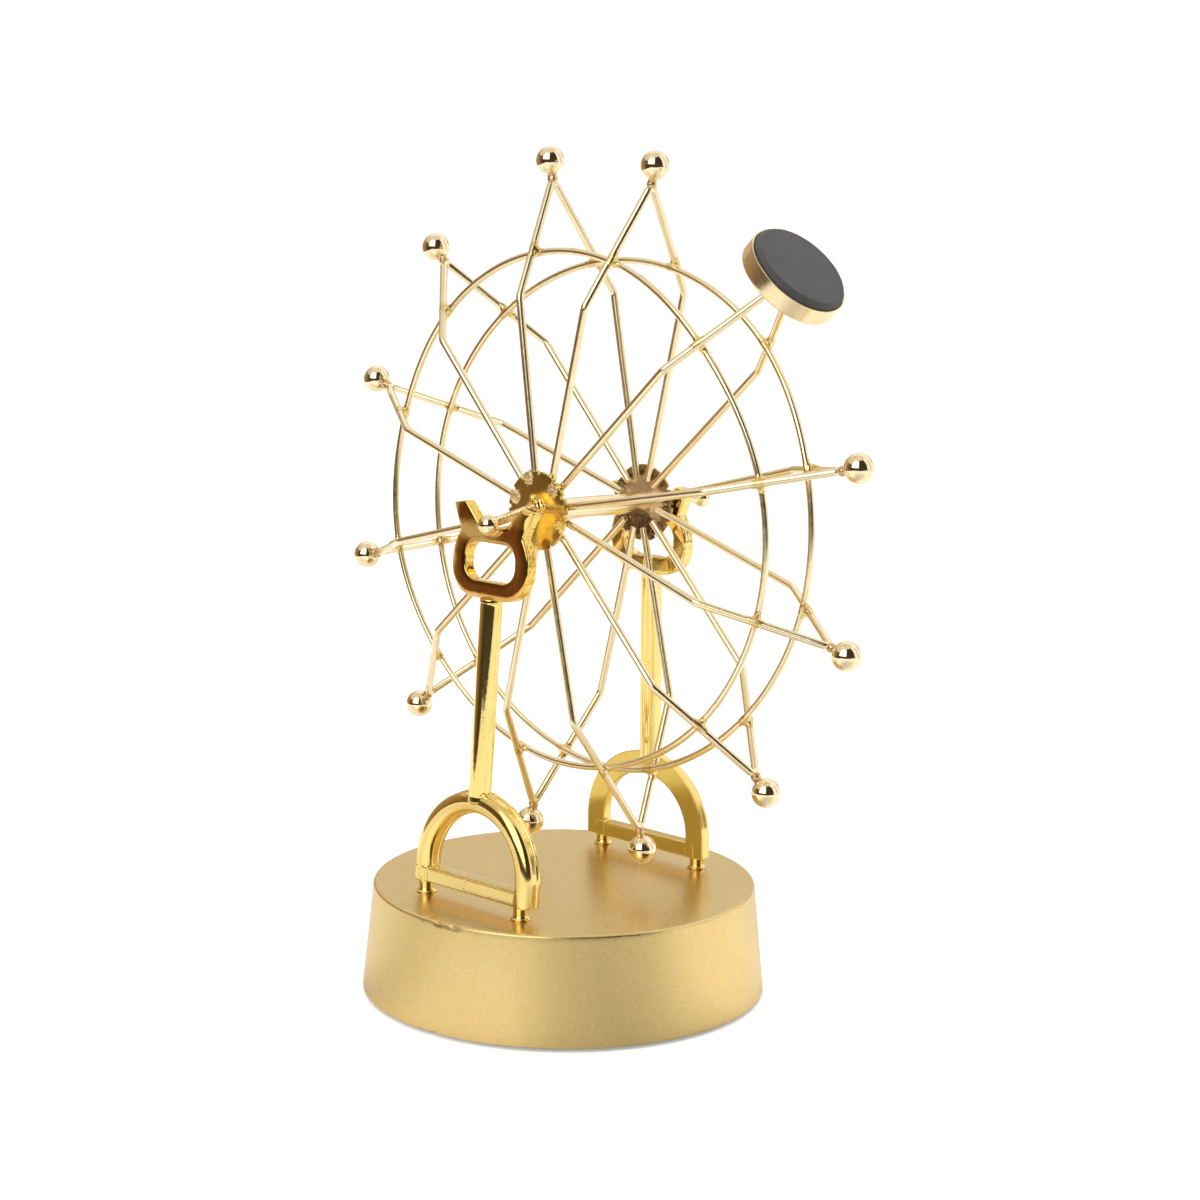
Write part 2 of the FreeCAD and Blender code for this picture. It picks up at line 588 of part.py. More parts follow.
def build_wheel():
    tilt = FreeCAD.Rotation(V(1, 0, 0), WHEEL_TILT)
    pl = FreeCAD.Placement(V(0, WHEEL_Y, WHEEL_Z), tilt)

    back = MAGNET_FACE - (MAGNET_T - (CUP_DEPTH - CUP_FLOOR)) - CUP_DEPTH
    spokes, balls = {}, {}
    weld_f, weld_r = [], []

    def rod_z(y):
        (y0, z0), (y1, z1) = AXLE_KNEE, AXLE_REAR
        return z0 + (z1 - z0) * (y - y0) / (y1 - y0)

    def wire_start(knee, side):
        return polar(WIRE_HUB_R, knee[2], side * WIRE_HUB_Y) + V(0, 0, rod_z(side * HUB_Y))

    for name, ball, kf, kr in SPOKES:
        tip = (ball[0] - WIRE_TIP, ball[1])
        e = polar(tip[0], tip[1], 0)
        ends = [[wire_start(knee, side), polar(knee[0], knee[1], side * KNEE_Y)]
                for side, knee in ((-1, kf), (1, kr))]
        wire = bent_wire(ends[0] + [e] + ends[1][::-1], [WIRE_BEND, WIRE_TIP_BEND, WIRE_BEND], WIRE_R)
        spokes["spoke_" + name] = wire
        # the neck ends where the outside of the bent wire is
        turn_ang = (e - ends[0][1]).getAngle(ends[1][1] - e)
        reach = WIRE_TIP + WIRE_TIP_BEND * (1 / math.cos(turn_ang / 2) - 1) - WIRE_R + 0.03
        balls["tip_ball_" + name] = place(ball_with_neck(reach), FreeCAD.Placement(
            polar(ball[0], ball[1], 0), FreeCAD.Rotation(V(0, 1, 0), 90 - ball[1])))
        weld_f.append(weld_point(kf, tip, 0, -1, RING_FRONT))
        weld_r.append(weld_point(kr, tip, 0, 1, RING_REAR))

    # the spoke that carries the magnet ends in a short bar behind the cup
    name, kf, kr = MAGNET_SPOKE
    tip_r = back - WIRE_R
    run = []
    for side, knee in ((-1, kf), (1, kr)):
        a = wire_start(knee, side)
        k = polar(knee[0], knee[1], side * KNEE_Y)
        e = polar(tip_r, MAGNET_ANGLE, side * MAGNET_WIRE_Y)
        run.append([a, k, e])
    spokes["spoke_12"] = bent_wire(run[0] + run[1][::-1], [WIRE_BEND, TIP_BEND, TIP_BEND, WIRE_BEND], WIRE_R)
    weld_f.append(weld_point(kf, (tip_r, MAGNET_ANGLE), MAGNET_WIRE_Y, -1, RING_FRONT))
    weld_r.append(weld_point(kr, (tip_r, MAGNET_ANGLE), MAGNET_WIRE_Y, 1, RING_REAR))

    def ring(points):
        pts = [p for _, p in sorted(points, key=lambda q: q[0] % 360)]
        curve = Part.BSplineCurve()
        curve.interpolate(Points=pts, PeriodicFlag=True)
        path = Part.Wire([curve.toShape()])
        t0 = curve.FirstParameter
        prof = Part.Wire([Part.Circle(curve.value(t0), curve.tangent(t0)[0], RING_WIRE_R).toShape()])
        sweep = Part.BRepOffsetAPI.MakePipeShell(path)
        sweep.setBiNormalMode(V(0, 1, 0))
        sweep.add(prof)
        sweep.build()
        sweep.makeSolid()
        return sweep.shape()

    rings = {"front_ring": ring(weld_f), "rear_ring": ring(weld_r)}

    front, knee, rear = (V(0, *p) for p in (AXLE_FRONT, AXLE_KNEE, AXLE_REAR))
    full = bent_wire([front, knee, rear], [AXLE_BEND], AXLE_R)
    end_f = Part.makeSphere(END_BALL_R, front)
    end_r = Part.makeSphere(END_BALL_R, rear)
    rod = full.cut(end_f).cut(end_r)

    along = (rear - knee).normalize()
    hubs = {}
    for side, nm in ((-1, "front_hub"), (1, "rear_hub")):
        y = side * HUB_Y
        h = cyl(HUB_R, HUB_T, V(0, y - HUB_T / 2, rod_z(y)), V(0, 1, 0))
        if side < 0:
            h = h.fuse(cyl(HUB_NUT_R, HUB_NUT_END - HUB_Y, V(0, -HUB_NUT_END, rod_z(y)), V(0, 1, 0)))
        h = h.cut(cyl(AXLE_R, 10, V(0, y, rod_z(y)) - along * 5, along))
        hubs[nm] = max(h.Solids, key=lambda q: q.Volume)
    half = HUB_Y - HUB_T / 2
    tube = cyl(TUBE_R, 2 * half + 2, V(0, -half, rod_z(-half)) - along, along)
    tube = tube.cut(cyl(AXLE_R, 2 * half + 6, V(0, -half, rod_z(-half)) - along * 3, along))
    tube = tube.common(box(-5, 5, -half, half, -10, 10))
    hubs["hub_tube"] = tube.Solids[0]

    # magnet in its cup, facing outwards
    cup = cyl(CUP_R, CUP_DEPTH, V(0, 0, 0), V(0, 0, 1))
    cup = soften(cup, [e for e in cup.Edges if e.BoundBox.ZMax < 0.01 and e.BoundBox.XLength > 1], 0.7)
    cup = cup.cut(cyl(MAGNET_R, CUP_DEPTH, V(0, 0, CUP_FLOOR)))
    mag = cyl(MAGNET_R, MAGNET_T, V(0, 0, CUP_FLOOR))
    face_edge = [e for e in mag.Edges if e.BoundBox.ZMin > CUP_FLOOR + MAGNET_T - 0.01 and e.BoundBox.XLength > 1]
    mag = mag.makeChamfer(0.8, face_edge)
    turn = FreeCAD.Placement(polar(back, MAGNET_ANGLE, 0),
                             FreeCAD.Rotation(V(0, 1, 0), 90 - MAGNET_ANGLE))
    cup, mag = place(cup, turn), place(mag, turn)

    everything = {"axle_rod": rod, "axle_ball_front": end_f, "axle_ball_rear": end_r,
                  "magnet_cup": cup, "drive_magnet": mag}
    everything.update(hubs)
    everything.update(rings)
    everything.update(spokes)
    everything.update(balls)
    for nm in sorted(everything):
        save(nm, place(everything[nm], pl))


build_base()
build_cover()
build_electrics()
build_stands()
build_wheel()
print("done")
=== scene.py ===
import math

import bpy
import numpy as np
from mathutils import Matrix, Vector


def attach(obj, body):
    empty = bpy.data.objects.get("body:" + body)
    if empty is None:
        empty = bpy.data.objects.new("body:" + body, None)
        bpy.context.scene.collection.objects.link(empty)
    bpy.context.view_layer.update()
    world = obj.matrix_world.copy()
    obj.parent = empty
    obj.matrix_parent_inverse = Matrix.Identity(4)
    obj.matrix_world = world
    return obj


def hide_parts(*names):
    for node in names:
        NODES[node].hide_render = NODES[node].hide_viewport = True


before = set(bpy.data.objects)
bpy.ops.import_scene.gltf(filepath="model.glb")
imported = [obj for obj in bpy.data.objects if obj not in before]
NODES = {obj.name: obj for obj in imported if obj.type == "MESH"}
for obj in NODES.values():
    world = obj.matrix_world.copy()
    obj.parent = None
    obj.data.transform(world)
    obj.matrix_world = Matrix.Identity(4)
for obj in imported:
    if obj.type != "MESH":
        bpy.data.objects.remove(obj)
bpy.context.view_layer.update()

MM = 0.001
SCENE = bpy.context.scene


# ---------------------------------------------------------------- mesh tools
def add_mesh(name, verts, faces, normals=None, sharp=None, face_mat=None):
    """A mesh object from points in millimetres."""
    me = bpy.data.meshes.new(name)
    me.from_pydata((np.asarray(verts, float) * MM).tolist(), [], [list(map(int, f)) for f in faces])
    me.polygons.foreach_set("use_smooth", [True] * len(me.polygons))
    if face_mat is not None:
        me.polygons.foreach_set("material_index", [int(i) for i in face_mat])
    me.update()
    if normals is not None:
        me.normals_split_custom_set_from_vertices(np.asarray(normals, float).tolist())
    elif sharp is not None:
        me.set_sharp_from_angle(angle=math.radians(sharp))
    ob = bpy.data.objects.new(name, me)
    SCENE.collection.objects.link(ob)
    return ob


def merge(parts):
    """Joins (verts, faces[, normals[, mats]]) lists into one."""
    vs, fs, ns, ms, n = [], [], [], [], 0
    for p in parts:
        v, f = np.asarray(p[0], float), p[1]
        vs.append(v)
        fs += [[i + n for i in q] for q in f]
        if len(p) > 2 and p[2] is not None:
            ns.append(np.asarray(p[2], float))
        if len(p) > 3:
            ms += list(p[3])
        n += len(v)
    return np.vstack(vs), fs, (np.vstack(ns) if ns and sum(map(len, ns)) == n else None), (ms or None)


def put(ob, body, mats, replaces=()):
    for m in (mats if isinstance(mats, (list, tuple)) else [mats]):
        ob.data.materials.append(m)
    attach(ob, body)
    if replaces:
        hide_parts(*replaces)
    return ob


def lathe(profile, n=64, origin=(0, 0, 0), rot=None, closed=False):
    """Turns (r, z) points about Z. Points on the axis become poles."""
    prof = [(float(r), float(z)) for r, z in profile]
    verts, rows = [], []
    for r, z in prof:
        if r < 1e-6:
            rows.append([len(verts)])
            verts.append((0, 0, z))
        else:
            rows.append(list(range(len(verts), len(verts) + n)))
            for k in range(n):
                a = 2 * math.pi * k / n
                verts.append((r * math.cos(a), r * math.sin(a), z))
    faces = []
    pairs = list(zip(rows[:-1], rows[1:]))
    if closed:
        pairs.append((rows[-1], rows[0]))
    for a, b in pairs:
        for k in range(n):
            j = (k + 1) % n
            if len(a) == 1 and len(b) == 1:
                continue
            if len(a) == 1:
                faces.append([a[0], b[k], b[j]])
            elif len(b) == 1:
                faces.append([a[k], b[0], a[j]])
            else:
                faces.append([a[k], b[k], b[j], a[j]])
    v = np.array(verts)
    if rot is not None:
        v = v @ np.array(rot, float).T
    return v + np.array(origin, float), faces


def arc_pts(cx, cz, r, a0, a1, n):
    return [(cx + r * math.cos(math.radians(a0 + (a1 - a0) * i / n)),
             cz + r * math.sin(math.radians(a0 + (a1 - a0) * i / n))) for i in range(n + 1)]


def rounded(points, radius, n=4):
    """Rounds the inner corners of an open (r, z) polyline; radius is one number or one per corner."""
    out = [points[0]]
    for i in range(1, len(points) - 1):
        r = radius[i - 1] if isinstance(radius, (list, tuple)) else radius
        p0, p1, p2 = (np.array(points[k], float) for k in (i - 1, i, i + 1))
        d1, d2 = p0 - p1, p2 - p1
        l1, l2 = np.linalg.norm(d1), np.linalg.norm(d2)
        d1, d2 = d1 / l1, d2 / l2
        c = float(np.clip(d1 @ d2, -1, 1))
        half = math.acos(c) / 2
        if r <= 0 or half > math.pi / 2 - 0.03:
            out.append(tuple(p1))
            continue
        t = min(r / math.tan(half), 0.48 * l1, 0.48 * l2)
        for k in range(n + 1):
            s = k / n
            q = (1 - s) ** 2 * (p1 + d1 * t) + 2 * s * (1 - s) * p1 + s * s * (p1 + d2 * t)
            out.append(tuple(q))
    out.append(points[-1])
    return out


def frames_along(pts, closed=False):
    pts = np.asarray(pts, float)
    n = len(pts)
    if closed:
        tan = np.roll(pts, -1, 0) - np.roll(pts, 1, 0)
    else:
        tan = np.gradient(pts, axis=0)
    tan /= np.linalg.norm(tan, axis=1)[:, None]
    u = np.cross(tan[0], (0, 1, 0) if abs(tan[0][1]) < 0.9 else (1, 0, 0))
    u /= np.linalg.norm(u)
    us = [u]
    for i in range(1, n):
        v = us[-1] - tan[i] * (us[-1] @ tan[i])
        us.append(v / np.linalg.norm(v))
    us = np.array(us)
    ws = np.cross(tan, us)
    return tan, us, ws


def tube(pts, radius, sides=18, closed=False, cap=0.12, flat=None):
    """A swept round wire. Open ends are cut square with a small edge break.
    flat is not used."""
    pts = np.asarray(pts, float)
    tan, us, ws = frames_along(pts, closed)
    n = len(pts)
    rad = np.full(n, float(radius)) if np.isscalar(radius) else np.asarray(radius, float)
    ang = 2 * math.pi * np.arange(sides) / sides
    ring = (np.cos(ang)[None, :, None] * us[:, None, :] + np.sin(ang)[None, :, None] * ws[:, None, :])
    verts = (pts[:, None, :] + ring * rad[:, None, None]).reshape(-1, 3)
    faces = []
    last = n if closed else n - 1
    for i in range(last):
        a, b = i * sides, ((i + 1) % n) * sides
        for k in range(sides):
            j = (k + 1) % sides
            faces.append([a + k, a + j, b + j, b + k])
    if not closed:
        verts = list(map(tuple, verts))
        for end, i, s in ((0, 0, -1), (1, n - 1, 1)):
            base = i * sides
            r1 = rad[i] - cap
            c = pts[i] + tan[i] * s * cap
            row = len(verts)
            for k in range(sides):
                verts.append(tuple(c + ring[i, k] * r1))
            mid = len(verts)
            verts.append(tuple(c))
            for k in range(sides):
                j = (k + 1) % sides
                q = [base + k, row + k, row + j, base + j]
                t = [row + k, mid, row + j]
                if s > 0:
                    q, t = q[::-1], t[::-1]
                faces.append(q)
                faces.append(t)
        verts = np.array(verts)
    return verts, faces


def bent_path(points, bends, step=3.0, arc_n=10):
    """Straight runs with tangent arcs at the inner points."""
    pts = [np.array(p, float) for p in points]
    out = []
    start = pts[0]
    for i in range(1, len(pts) - 1):
        a, k, e = pts[i - 1], pts[i], pts[i + 1]
        u1 = (k - a) / np.linalg.norm(k - a)
        u2 = (e - k) / np.linalg.norm(e - k)
        phi = math.acos(float(np.clip(u1 @ u2, -1, 1)))
        b = bends[i - 1]
        t = b * math.tan(phi / 2)
        p1, p2 = k - u1 * t, k + u2 * t
        nn = (u2 - u1) / np.linalg.norm(u2 - u1)
        c = k + nn * (b / math.cos(phi / 2))
        m = max(2, int(np.linalg.norm(p1 - start) / step))
        out += [start + (p1 - start) * j / m for j in range(m)]
        v1 = p1 - c
        ax = np.cross(v1, p2 - c)
        ax /= np.linalg.norm(ax)
        for j in range(arc_n):
            th = phi * j / arc_n
            out.append(c + v1 * math.cos(th) + np.cross(ax, v1) * math.sin(th))
        start = p2
    m = max(2, int(np.linalg.norm(pts[-1] - start) / step))
    out += [start + (pts[-1] - start) * j / m for j in range(m + 1)]
    return np.array(out)


# ---------------------------------------------------------------- implicit surfaces
def smin(a, b, k):
    h = np.clip(0.5 + 0.5 * (b - a) / k, 0, 1)
    return b + (a - b) * h - k * h * (1 - h)


def smax(a, b, k):
    return -smin(-a, -b, k)


def wobble(p, scale, seed):
    """Smooth fixed lumpiness from a few sine waves, about -1 to 1."""
    rng = np.random.RandomState(seed)
    s = np.zeros(p.shape[:-1])
    for _ in range(6):
        d = rng.normal(size=3)
        d /= np.linalg.norm(d)
        f = (0.6 + 0.9 * rng.rand()) * 2 * math.pi / scale
        s += np.sin(f * (p @ d) + rng.rand() * 6.28)
    return s / 3.2


def surface_net(func, low, high, h, passes=4, eps=0.02, n_eps=0.05, chunk=400000):
    """Mesh of func = 0 (negative inside), its points pulled onto the surface, with true normals."""
    ax = [np.arange(low[i], high[i] + h, h) for i in range(3)]
    nx, ny, nz = map(len, ax)
    gx, gy, gz = np.meshgrid(*ax, indexing="ij")
    pts = np.stack([gx, gy, gz], -1).reshape(-1, 3)
    val = np.concatenate([func(pts[i:i + chunk]) for i in range(0, len(pts), chunk)]).reshape(nx, ny, nz)
    ins = val < 0
    cx, cy, cz = nx - 1, ny - 1, nz - 1
    pos = np.zeros((cx, cy, cz, 3))
    cnt = np.zeros((cx, cy, cz))
    for axis in range(3):
        for da in (0, 1):
            for db in (0, 1):
                o1 = [0, 0, 0]
                others = [i for i in range(3) if i != axis]
                o1[others[0]], o1[others[1]] = da, db
                o2 = list(o1)
                o2[axis] = 1
                s1 = tuple(slice(o1[i], o1[i] + (cx, cy, cz)[i]) for i in range(3))
                s2 = tuple(slice(o2[i], o2[i] + (cx, cy, cz)[i]) for i in range(3))
                v1, v2 = val[s1], val[s2]
                m = ins[s1] != ins[s2]
                t = np.where(m, v1 / np.where(m, v1 - v2, 1), 0)
                for i in range(3):
                    off = np.full(t.shape, float(o1[i])) if i != axis else t
                    pos[..., i] += np.where(m, off, 0)
                cnt += m
    act = cnt > 0
    idx = -np.ones((cx, cy, cz), int)
    idx[act] = np.arange(act.sum())
    cell = np.argwhere(act)
    p = (pos[act] / cnt[act][:, None] + cell) * h + np.array([ax[0][0], ax[1][0], ax[2][0]])
    quads = []
    for axis in range(3):
        b, c = [(1, 2), (2, 0), (0, 1)][axis]
        s1 = [slice(None)] * 3
        s2 = [slice(None)] * 3
        s1[axis], s2[axis] = slice(0, -1), slice(1, None)
        a_in, b_in = ins[tuple(s1)], ins[tuple(s2)]
        e = np.argwhere(a_in != b_in)
        ok = (e[:, b] > 0) & (e[:, c] > 0) & (e[:, b] < (cx, cy, cz)[b]) & (e[:, c] < (cx, cy, cz)[c])
        e = e[ok]
        flip = a_in[tuple(e.T)]
        q = []
        for db, dc in ((0, 0), (-1, 0), (-1, -1), (0, -1)):
            k = e.copy()
            k[:, b] += db
            k[:, c] += dc
            q.append(idx[tuple(k.T)])
        q = np.stack(q, 1)
        q[~flip] = q[~flip][:, ::-1]
        quads.append(q)
    quads = np.vstack(quads)
    quads = quads[(quads >= 0).all(1)][:, ::-1]

    def grad(x, d):
        g = np.zeros_like(x)
        for i in range(3):
            s = np.zeros(3)
            s[i] = d
            g[:, i] = (func(x + s) - func(x - s)) / (2 * d)
        return g
    for _ in range(passes):
        g = grad(p, eps)
        f = func(p)
        step = (f / np.maximum((g * g).sum(1), 1e-3))[:, None] * g
        ln = np.linalg.norm(step, axis=1)[:, None]
        p = p - step * np.minimum(1, 0.5 * h / np.maximum(ln, 1e-9))
    nrm = grad(p, n_eps)
    nrm /= np.maximum(np.linalg.norm(nrm, axis=1)[:, None], 1e-9)
    # outward order
    v0, v1, v2 = p[quads[:, 0]], p[quads[:, 1]], p[quads[:, 2]]
    face_n = np.cross(v1 - v0, v2 - v0)
    if (face_n * nrm[quads[:, 0]]).sum() < 0:
        quads = quads[:, ::-1]
    return p, quads.tolist(), nrm


def to_world(v, rot, org):
    return np.asarray(v) @ np.array(rot, float).T + np.array(org, float)


def rot_x(deg):
    c, s = math.cos(math.radians(deg)), math.sin(math.radians(deg))
    return np.array([[1, 0, 0], [0, c, -s], [0, s, c]])


def rot_z(deg):
    c, s = math.cos(math.radians(deg)), math.sin(math.radians(deg))
    return np.array([[c, -s, 0], [s, c, 0], [0, 0, 1]])


def rot_to(direction):
    """Rotation that takes +Z to the direction."""
    return np.array(Vector(direction).to_track_quat("Z", "Y").to_matrix())


# ---------------------------------------------------------------- materials
class Mat:
    """Small helper round one node material."""

    def __init__(self, name):
        self.m = bpy.data.materials.new(name)
        self.m.use_nodes = True
        self.t = self.m.node_tree
        self.t.nodes.clear()
        self.out = self.t.nodes.new("ShaderNodeOutputMaterial")
        self.b = self.t.nodes.new("ShaderNodeBsdfPrincipled")
        self.t.links.new(self.b.outputs[0], self.out.inputs[0])
        self.co = self.t.nodes.new("ShaderNodeTexCoord")

    def node(self, kind, **props):
        n = self.t.nodes.new(kind)
        for k, v in props.items():
            setattr(n, k, v)
        return n

    def link(self, a, b):
        self.t.links.new(a, b)

    def noise(self, scale, detail=3.0, rough=0.55, stretch=None, distortion=0.0):
        n = self.node("ShaderNodeTexNoise")
        n.inputs["Scale"].default_value = scale
        n.inputs["Detail"].default_value = detail
        n.inputs["Roughness"].default_value = rough
        n.inputs["Distortion"].default_value = distortion
        if stretch:
            mp = self.node("ShaderNodeMapping")
            mp.inputs["Scale"].default_value = stretch
            self.link(self.co.outputs["Object"], mp.inputs["Vector"])
            self.link(mp.outputs[0], n.inputs["Vector"])
        else:
            self.link(self.co.outputs["Object"], n.inputs["Vector"])
        return n.outputs["Fac"]

    def ramp(self, fac, stops):
        n = self.node("ShaderNodeValToRGB")
        self.link(fac, n.inputs[0])
        el = n.color_ramp.elements
        while len(el) < len(stops):
            el.new(0.5)
        for e, (p, c) in zip(el, stops):
            e.position = p
            e.color = (c[0], c[1], c[2], 1)
        return n.outputs[0]

    def remap(self, fac, a, b, lo, hi, smooth=False):
        n = self.node("ShaderNodeMapRange")
        if smooth:
            n.interpolation_type = "SMOOTHSTEP"
        self.link(fac, n.inputs[0])
        for i, v in enumerate((a, b, lo, hi)):
            n.inputs[i + 1].default_value = v
        return n.outputs[0]

    def math(self, op, a, b=None, c=None):
        n = self.node("ShaderNodeMath", operation=op)
        for i, v in enumerate((a, b, c)):
            if v is None:
                continue
            if isinstance(v, (int, float)):
                n.inputs[i].default_value = v
            else:
                self.link(v, n.inputs[i])
        return n.outputs[0]

    def mix(self, fac, a, b, mode="MIX"):
        n = self.node("ShaderNodeMix", data_type="RGBA", blend_type=mode)
        if isinstance(fac, (int, float)):
            n.inputs[0].default_value = fac
        else:
            self.link(fac, n.inputs[0])
        for i, v in ((6, a), (7, b)):
            if isinstance(v, (tuple, list)):
                n.inputs[i].default_value = (v[0], v[1], v[2], 1)
            else:
                self.link(v, n.inputs[i])
        return n.outputs[2]

    def bump(self, height, strength, dist=0.0002, prev=None):
        n = self.node("ShaderNodeBump")
        n.inputs["Strength"].default_value = strength
        n.inputs["Distance"].default_value = dist
        self.link(height, n.inputs["Height"])
        if prev is not None:
            self.link(prev, n.inputs["Normal"])
        return n.outputs[0]

    def set(self, **kw):
        names = {"color": "Base Color", "metal": "Metallic", "rough": "Roughness", "ior": "IOR",
                 "normal": "Normal", "coat": "Coat Weight", "coat_rough": "Coat Roughness",
                 "spec": "Specular IOR Level"}
        for k, v in kw.items():
            s = self.b.inputs[names[k]]
            if isinstance(v, (int, float)):
                s.default_value = v
            elif isinstance(v, (tuple, list)):
                s.default_value = (v[0], v[1], v[2], 1)
            else:
                self.link(v, s)
        return self.m


def scaled(c, k):
    return tuple(min(1.0, x * k) for x in c)


def gold(name, base, deep, rough=(0.05, 0.11), bump=0.02, spots=0.0, scale=130.0, coat=0.0, wavy=0.0):
    """Plated gold: slow colour drift, fine pits and a little haze."""
    m = Mat(name)
    drift = m.noise(scale, 4.0, 0.6)
    col = m.ramp(drift, [(0.30, deep), (0.62, base)])
    haze = m.noise(scale * 6, 5.0, 0.65)
    r = m.remap(haze, 0.3, 0.75, rough[0], rough[1])
    if spots:
        sp = m.noise(2300.0, 2.0, 0.5)
        mask = m.remap(sp, 0.66, 0.74, 0.0, spots, True)
        col = m.mix(mask, col, scaled(deep, 0.45))
    fine = m.noise(scale * 9, 3.0, 0.6)
    n = m.bump(fine, bump, 0.0001)
    if wavy:
        n = m.bump(m.noise(330.0, 2.0, 0.5), wavy, 0.0004, n)
    m.set(color=col, metal=1.0, rough=r, normal=n, coat=coat, coat_rough=0.06)
    return m.m


STAND = (0.97, 0.775, 0.295)
STAND_D = (0.93, 0.71, 0.23)
WIRE = (0.99, 0.875, 0.61)
WIRE_D = (0.96, 0.81, 0.52)

mat_stand = gold("gold_polished_stand", (0.98, 0.76, 0.28), (0.94, 0.69, 0.21), (0.08, 0.15), 0.05, 0.6, 110, 0.5, 0.045)
mat_post = gold("gold_polished_post", STAND, STAND_D, (0.03, 0.07), 0.05, 0.9, 110, 0.3, 0.015)


CRADLE_Z = 0.10942


def cradle_material():
    """Polished casting with painted reflections on its front face: an orange brown painted where it would mirror the
    dark surroundings, darkest round the opening;
    painted pale gold highlights on the upper limb, along the left rim and low on the lower limb; the right ear keeps
    the plain gold."""
    m = Mat("gold_cradle_painted_reflection")
    base = m.ramp(m.noise(140.0, 4.0, 0.6), [(0.3, (0.90, 0.60, 0.13)), (0.65, (0.95, 0.69, 0.19))])
    geo = m.node("ShaderNodeNewGeometry")
    sep = m.node("ShaderNodeSeparateXYZ")
    m.link(geo.outputs["Normal"], sep.inputs[0])
    # front face mask from the normal: only faces turned to -Y get the painted reflections
    face = m.remap(sep.outputs[1], -0.84, -0.95, 0.0, 1.0, True)
    place = m.node("ShaderNodeSeparateXYZ")
    m.link(m.co.outputs["Object"], place.inputs[0])
    drift = m.math("MULTIPLY", m.math("SUBTRACT", m.noise(330.0, 3.0, 0.5), 0.5), 0.002)
    x = m.math("ADD", place.outputs[0], drift)
    q = m.math("ADD", m.math("SUBTRACT", place.outputs[2], CRADLE_Z), drift)
    # distance from the edge of the opening
    dx = m.math("MAXIMUM", m.math("SUBTRACT", m.math("ABSOLUTE", place.outputs[0]), 0.00445), 0.0)
    dz = m.math("ABSOLUTE", m.math("SUBTRACT", place.outputs[2], CRADLE_Z + 0.0005))
    dz = m.math("MAXIMUM", m.math("SUBTRACT", dz, 0.0007), 0.0)
    d = m.math("SUBTRACT", m.math("SQRT", m.math("ADD", m.math("MULTIPLY", dx, dx), m.math("MULTIPLY", dz, dz))), 0.0038)
    # the right ear is kept out of the painted reflection
    ear = m.math("MULTIPLY", m.remap(x, 0.0062, 0.0082, 0.0, 1.0, True), m.remap(q, 0.0088, 0.0106, 0.0, 1.0, True))
    face = m.math("MULTIPLY", face, m.math("SUBTRACT", 1.0, ear))
    # painted reflection of the dark surroundings: orange brown, darkest next to the opening
    painted_dark_reflection = m.ramp(m.noise(210.0, 4.0, 0.6), [(0.3, (0.70, 0.31, 0.055)), (0.7, (0.84, 0.47, 0.13))])
    painted_dark_reflection = m.mix(m.remap(d, 0.0003, 0.0017, 0.75, 0.0, True), painted_dark_reflection, (0.27, 0.10, 0.02))
    # painted reflection: a dark brown streak on the left ear
    left_ear_dark_reflection = m.math("MULTIPLY", m.remap(q, 0.0085, 0.0105, 0.0, 1.0, True), m.remap(x, -0.0085, -0.0102, 0.0, 0.6, True))
    painted_dark_reflection = m.mix(left_ear_dark_reflection, painted_dark_reflection, (0.40, 0.20, 0.05))
    # painted highlights: pale gold on the upper limb (pale), along the left rim (rim) and low on the lower limb (foot)
    pale = m.math("MULTIPLY", m.remap(q, 0.0046, 0.0070, 0.0, 1.0, True), m.remap(q, 0.0078, 0.0112, 1.0, 0.0, True))
    pale = m.math("MULTIPLY", pale, m.remap(x, -0.0010, 0.0045, 0.68, 0.0, True))
    rim = m.math("MULTIPLY", m.remap(x, -0.0106, -0.0121, 0.0, 0.75, True), m.remap(q, -0.0045, 0.0010, 0.0, 1.0, True))
    foot = m.math("MULTIPLY", m.remap(q, -0.0066, -0.0074, 0.0, 0.45, True), m.remap(x, -0.0085, -0.0065, 0.0, 1.0, True))
    # the painted highlights are also rougher and less metallic
    painted_highlight = m.math("MULTIPLY", m.math("MAXIMUM", pale, m.math("MAXIMUM", rim, foot)), face)
    col = m.mix(face, base, painted_dark_reflection)
    col = m.mix(painted_highlight, col, (0.95, 0.68, 0.23))
    sp = m.remap(m.noise(2100.0, 2.0, 0.5), 0.64, 0.72, 0.0, 0.5, True)
    col = m.mix(sp, col, (0.36, 0.17, 0.03))
    haze = m.noise(840.0, 5.0, 0.65)
    n = m.bump(m.noise(1260.0, 3.0, 0.6), 0.05, 0.0001)
    n = m.bump(m.noise(330.0, 2.0, 0.5), 0.05, 0.0004, n)
    rough = m.math("ADD", m.remap(haze, 0.3, 0.75, 0.08, 0.15), m.math("MULTIPLY", painted_highlight, 0.3))
    m.set(color=col, metal=m.math("SUBTRACT", 1.0, m.math("MULTIPLY", painted_highlight, 0.75)), rough=rough, normal=n,
          coat=0.2, coat_rough=0.06)
    return m.m


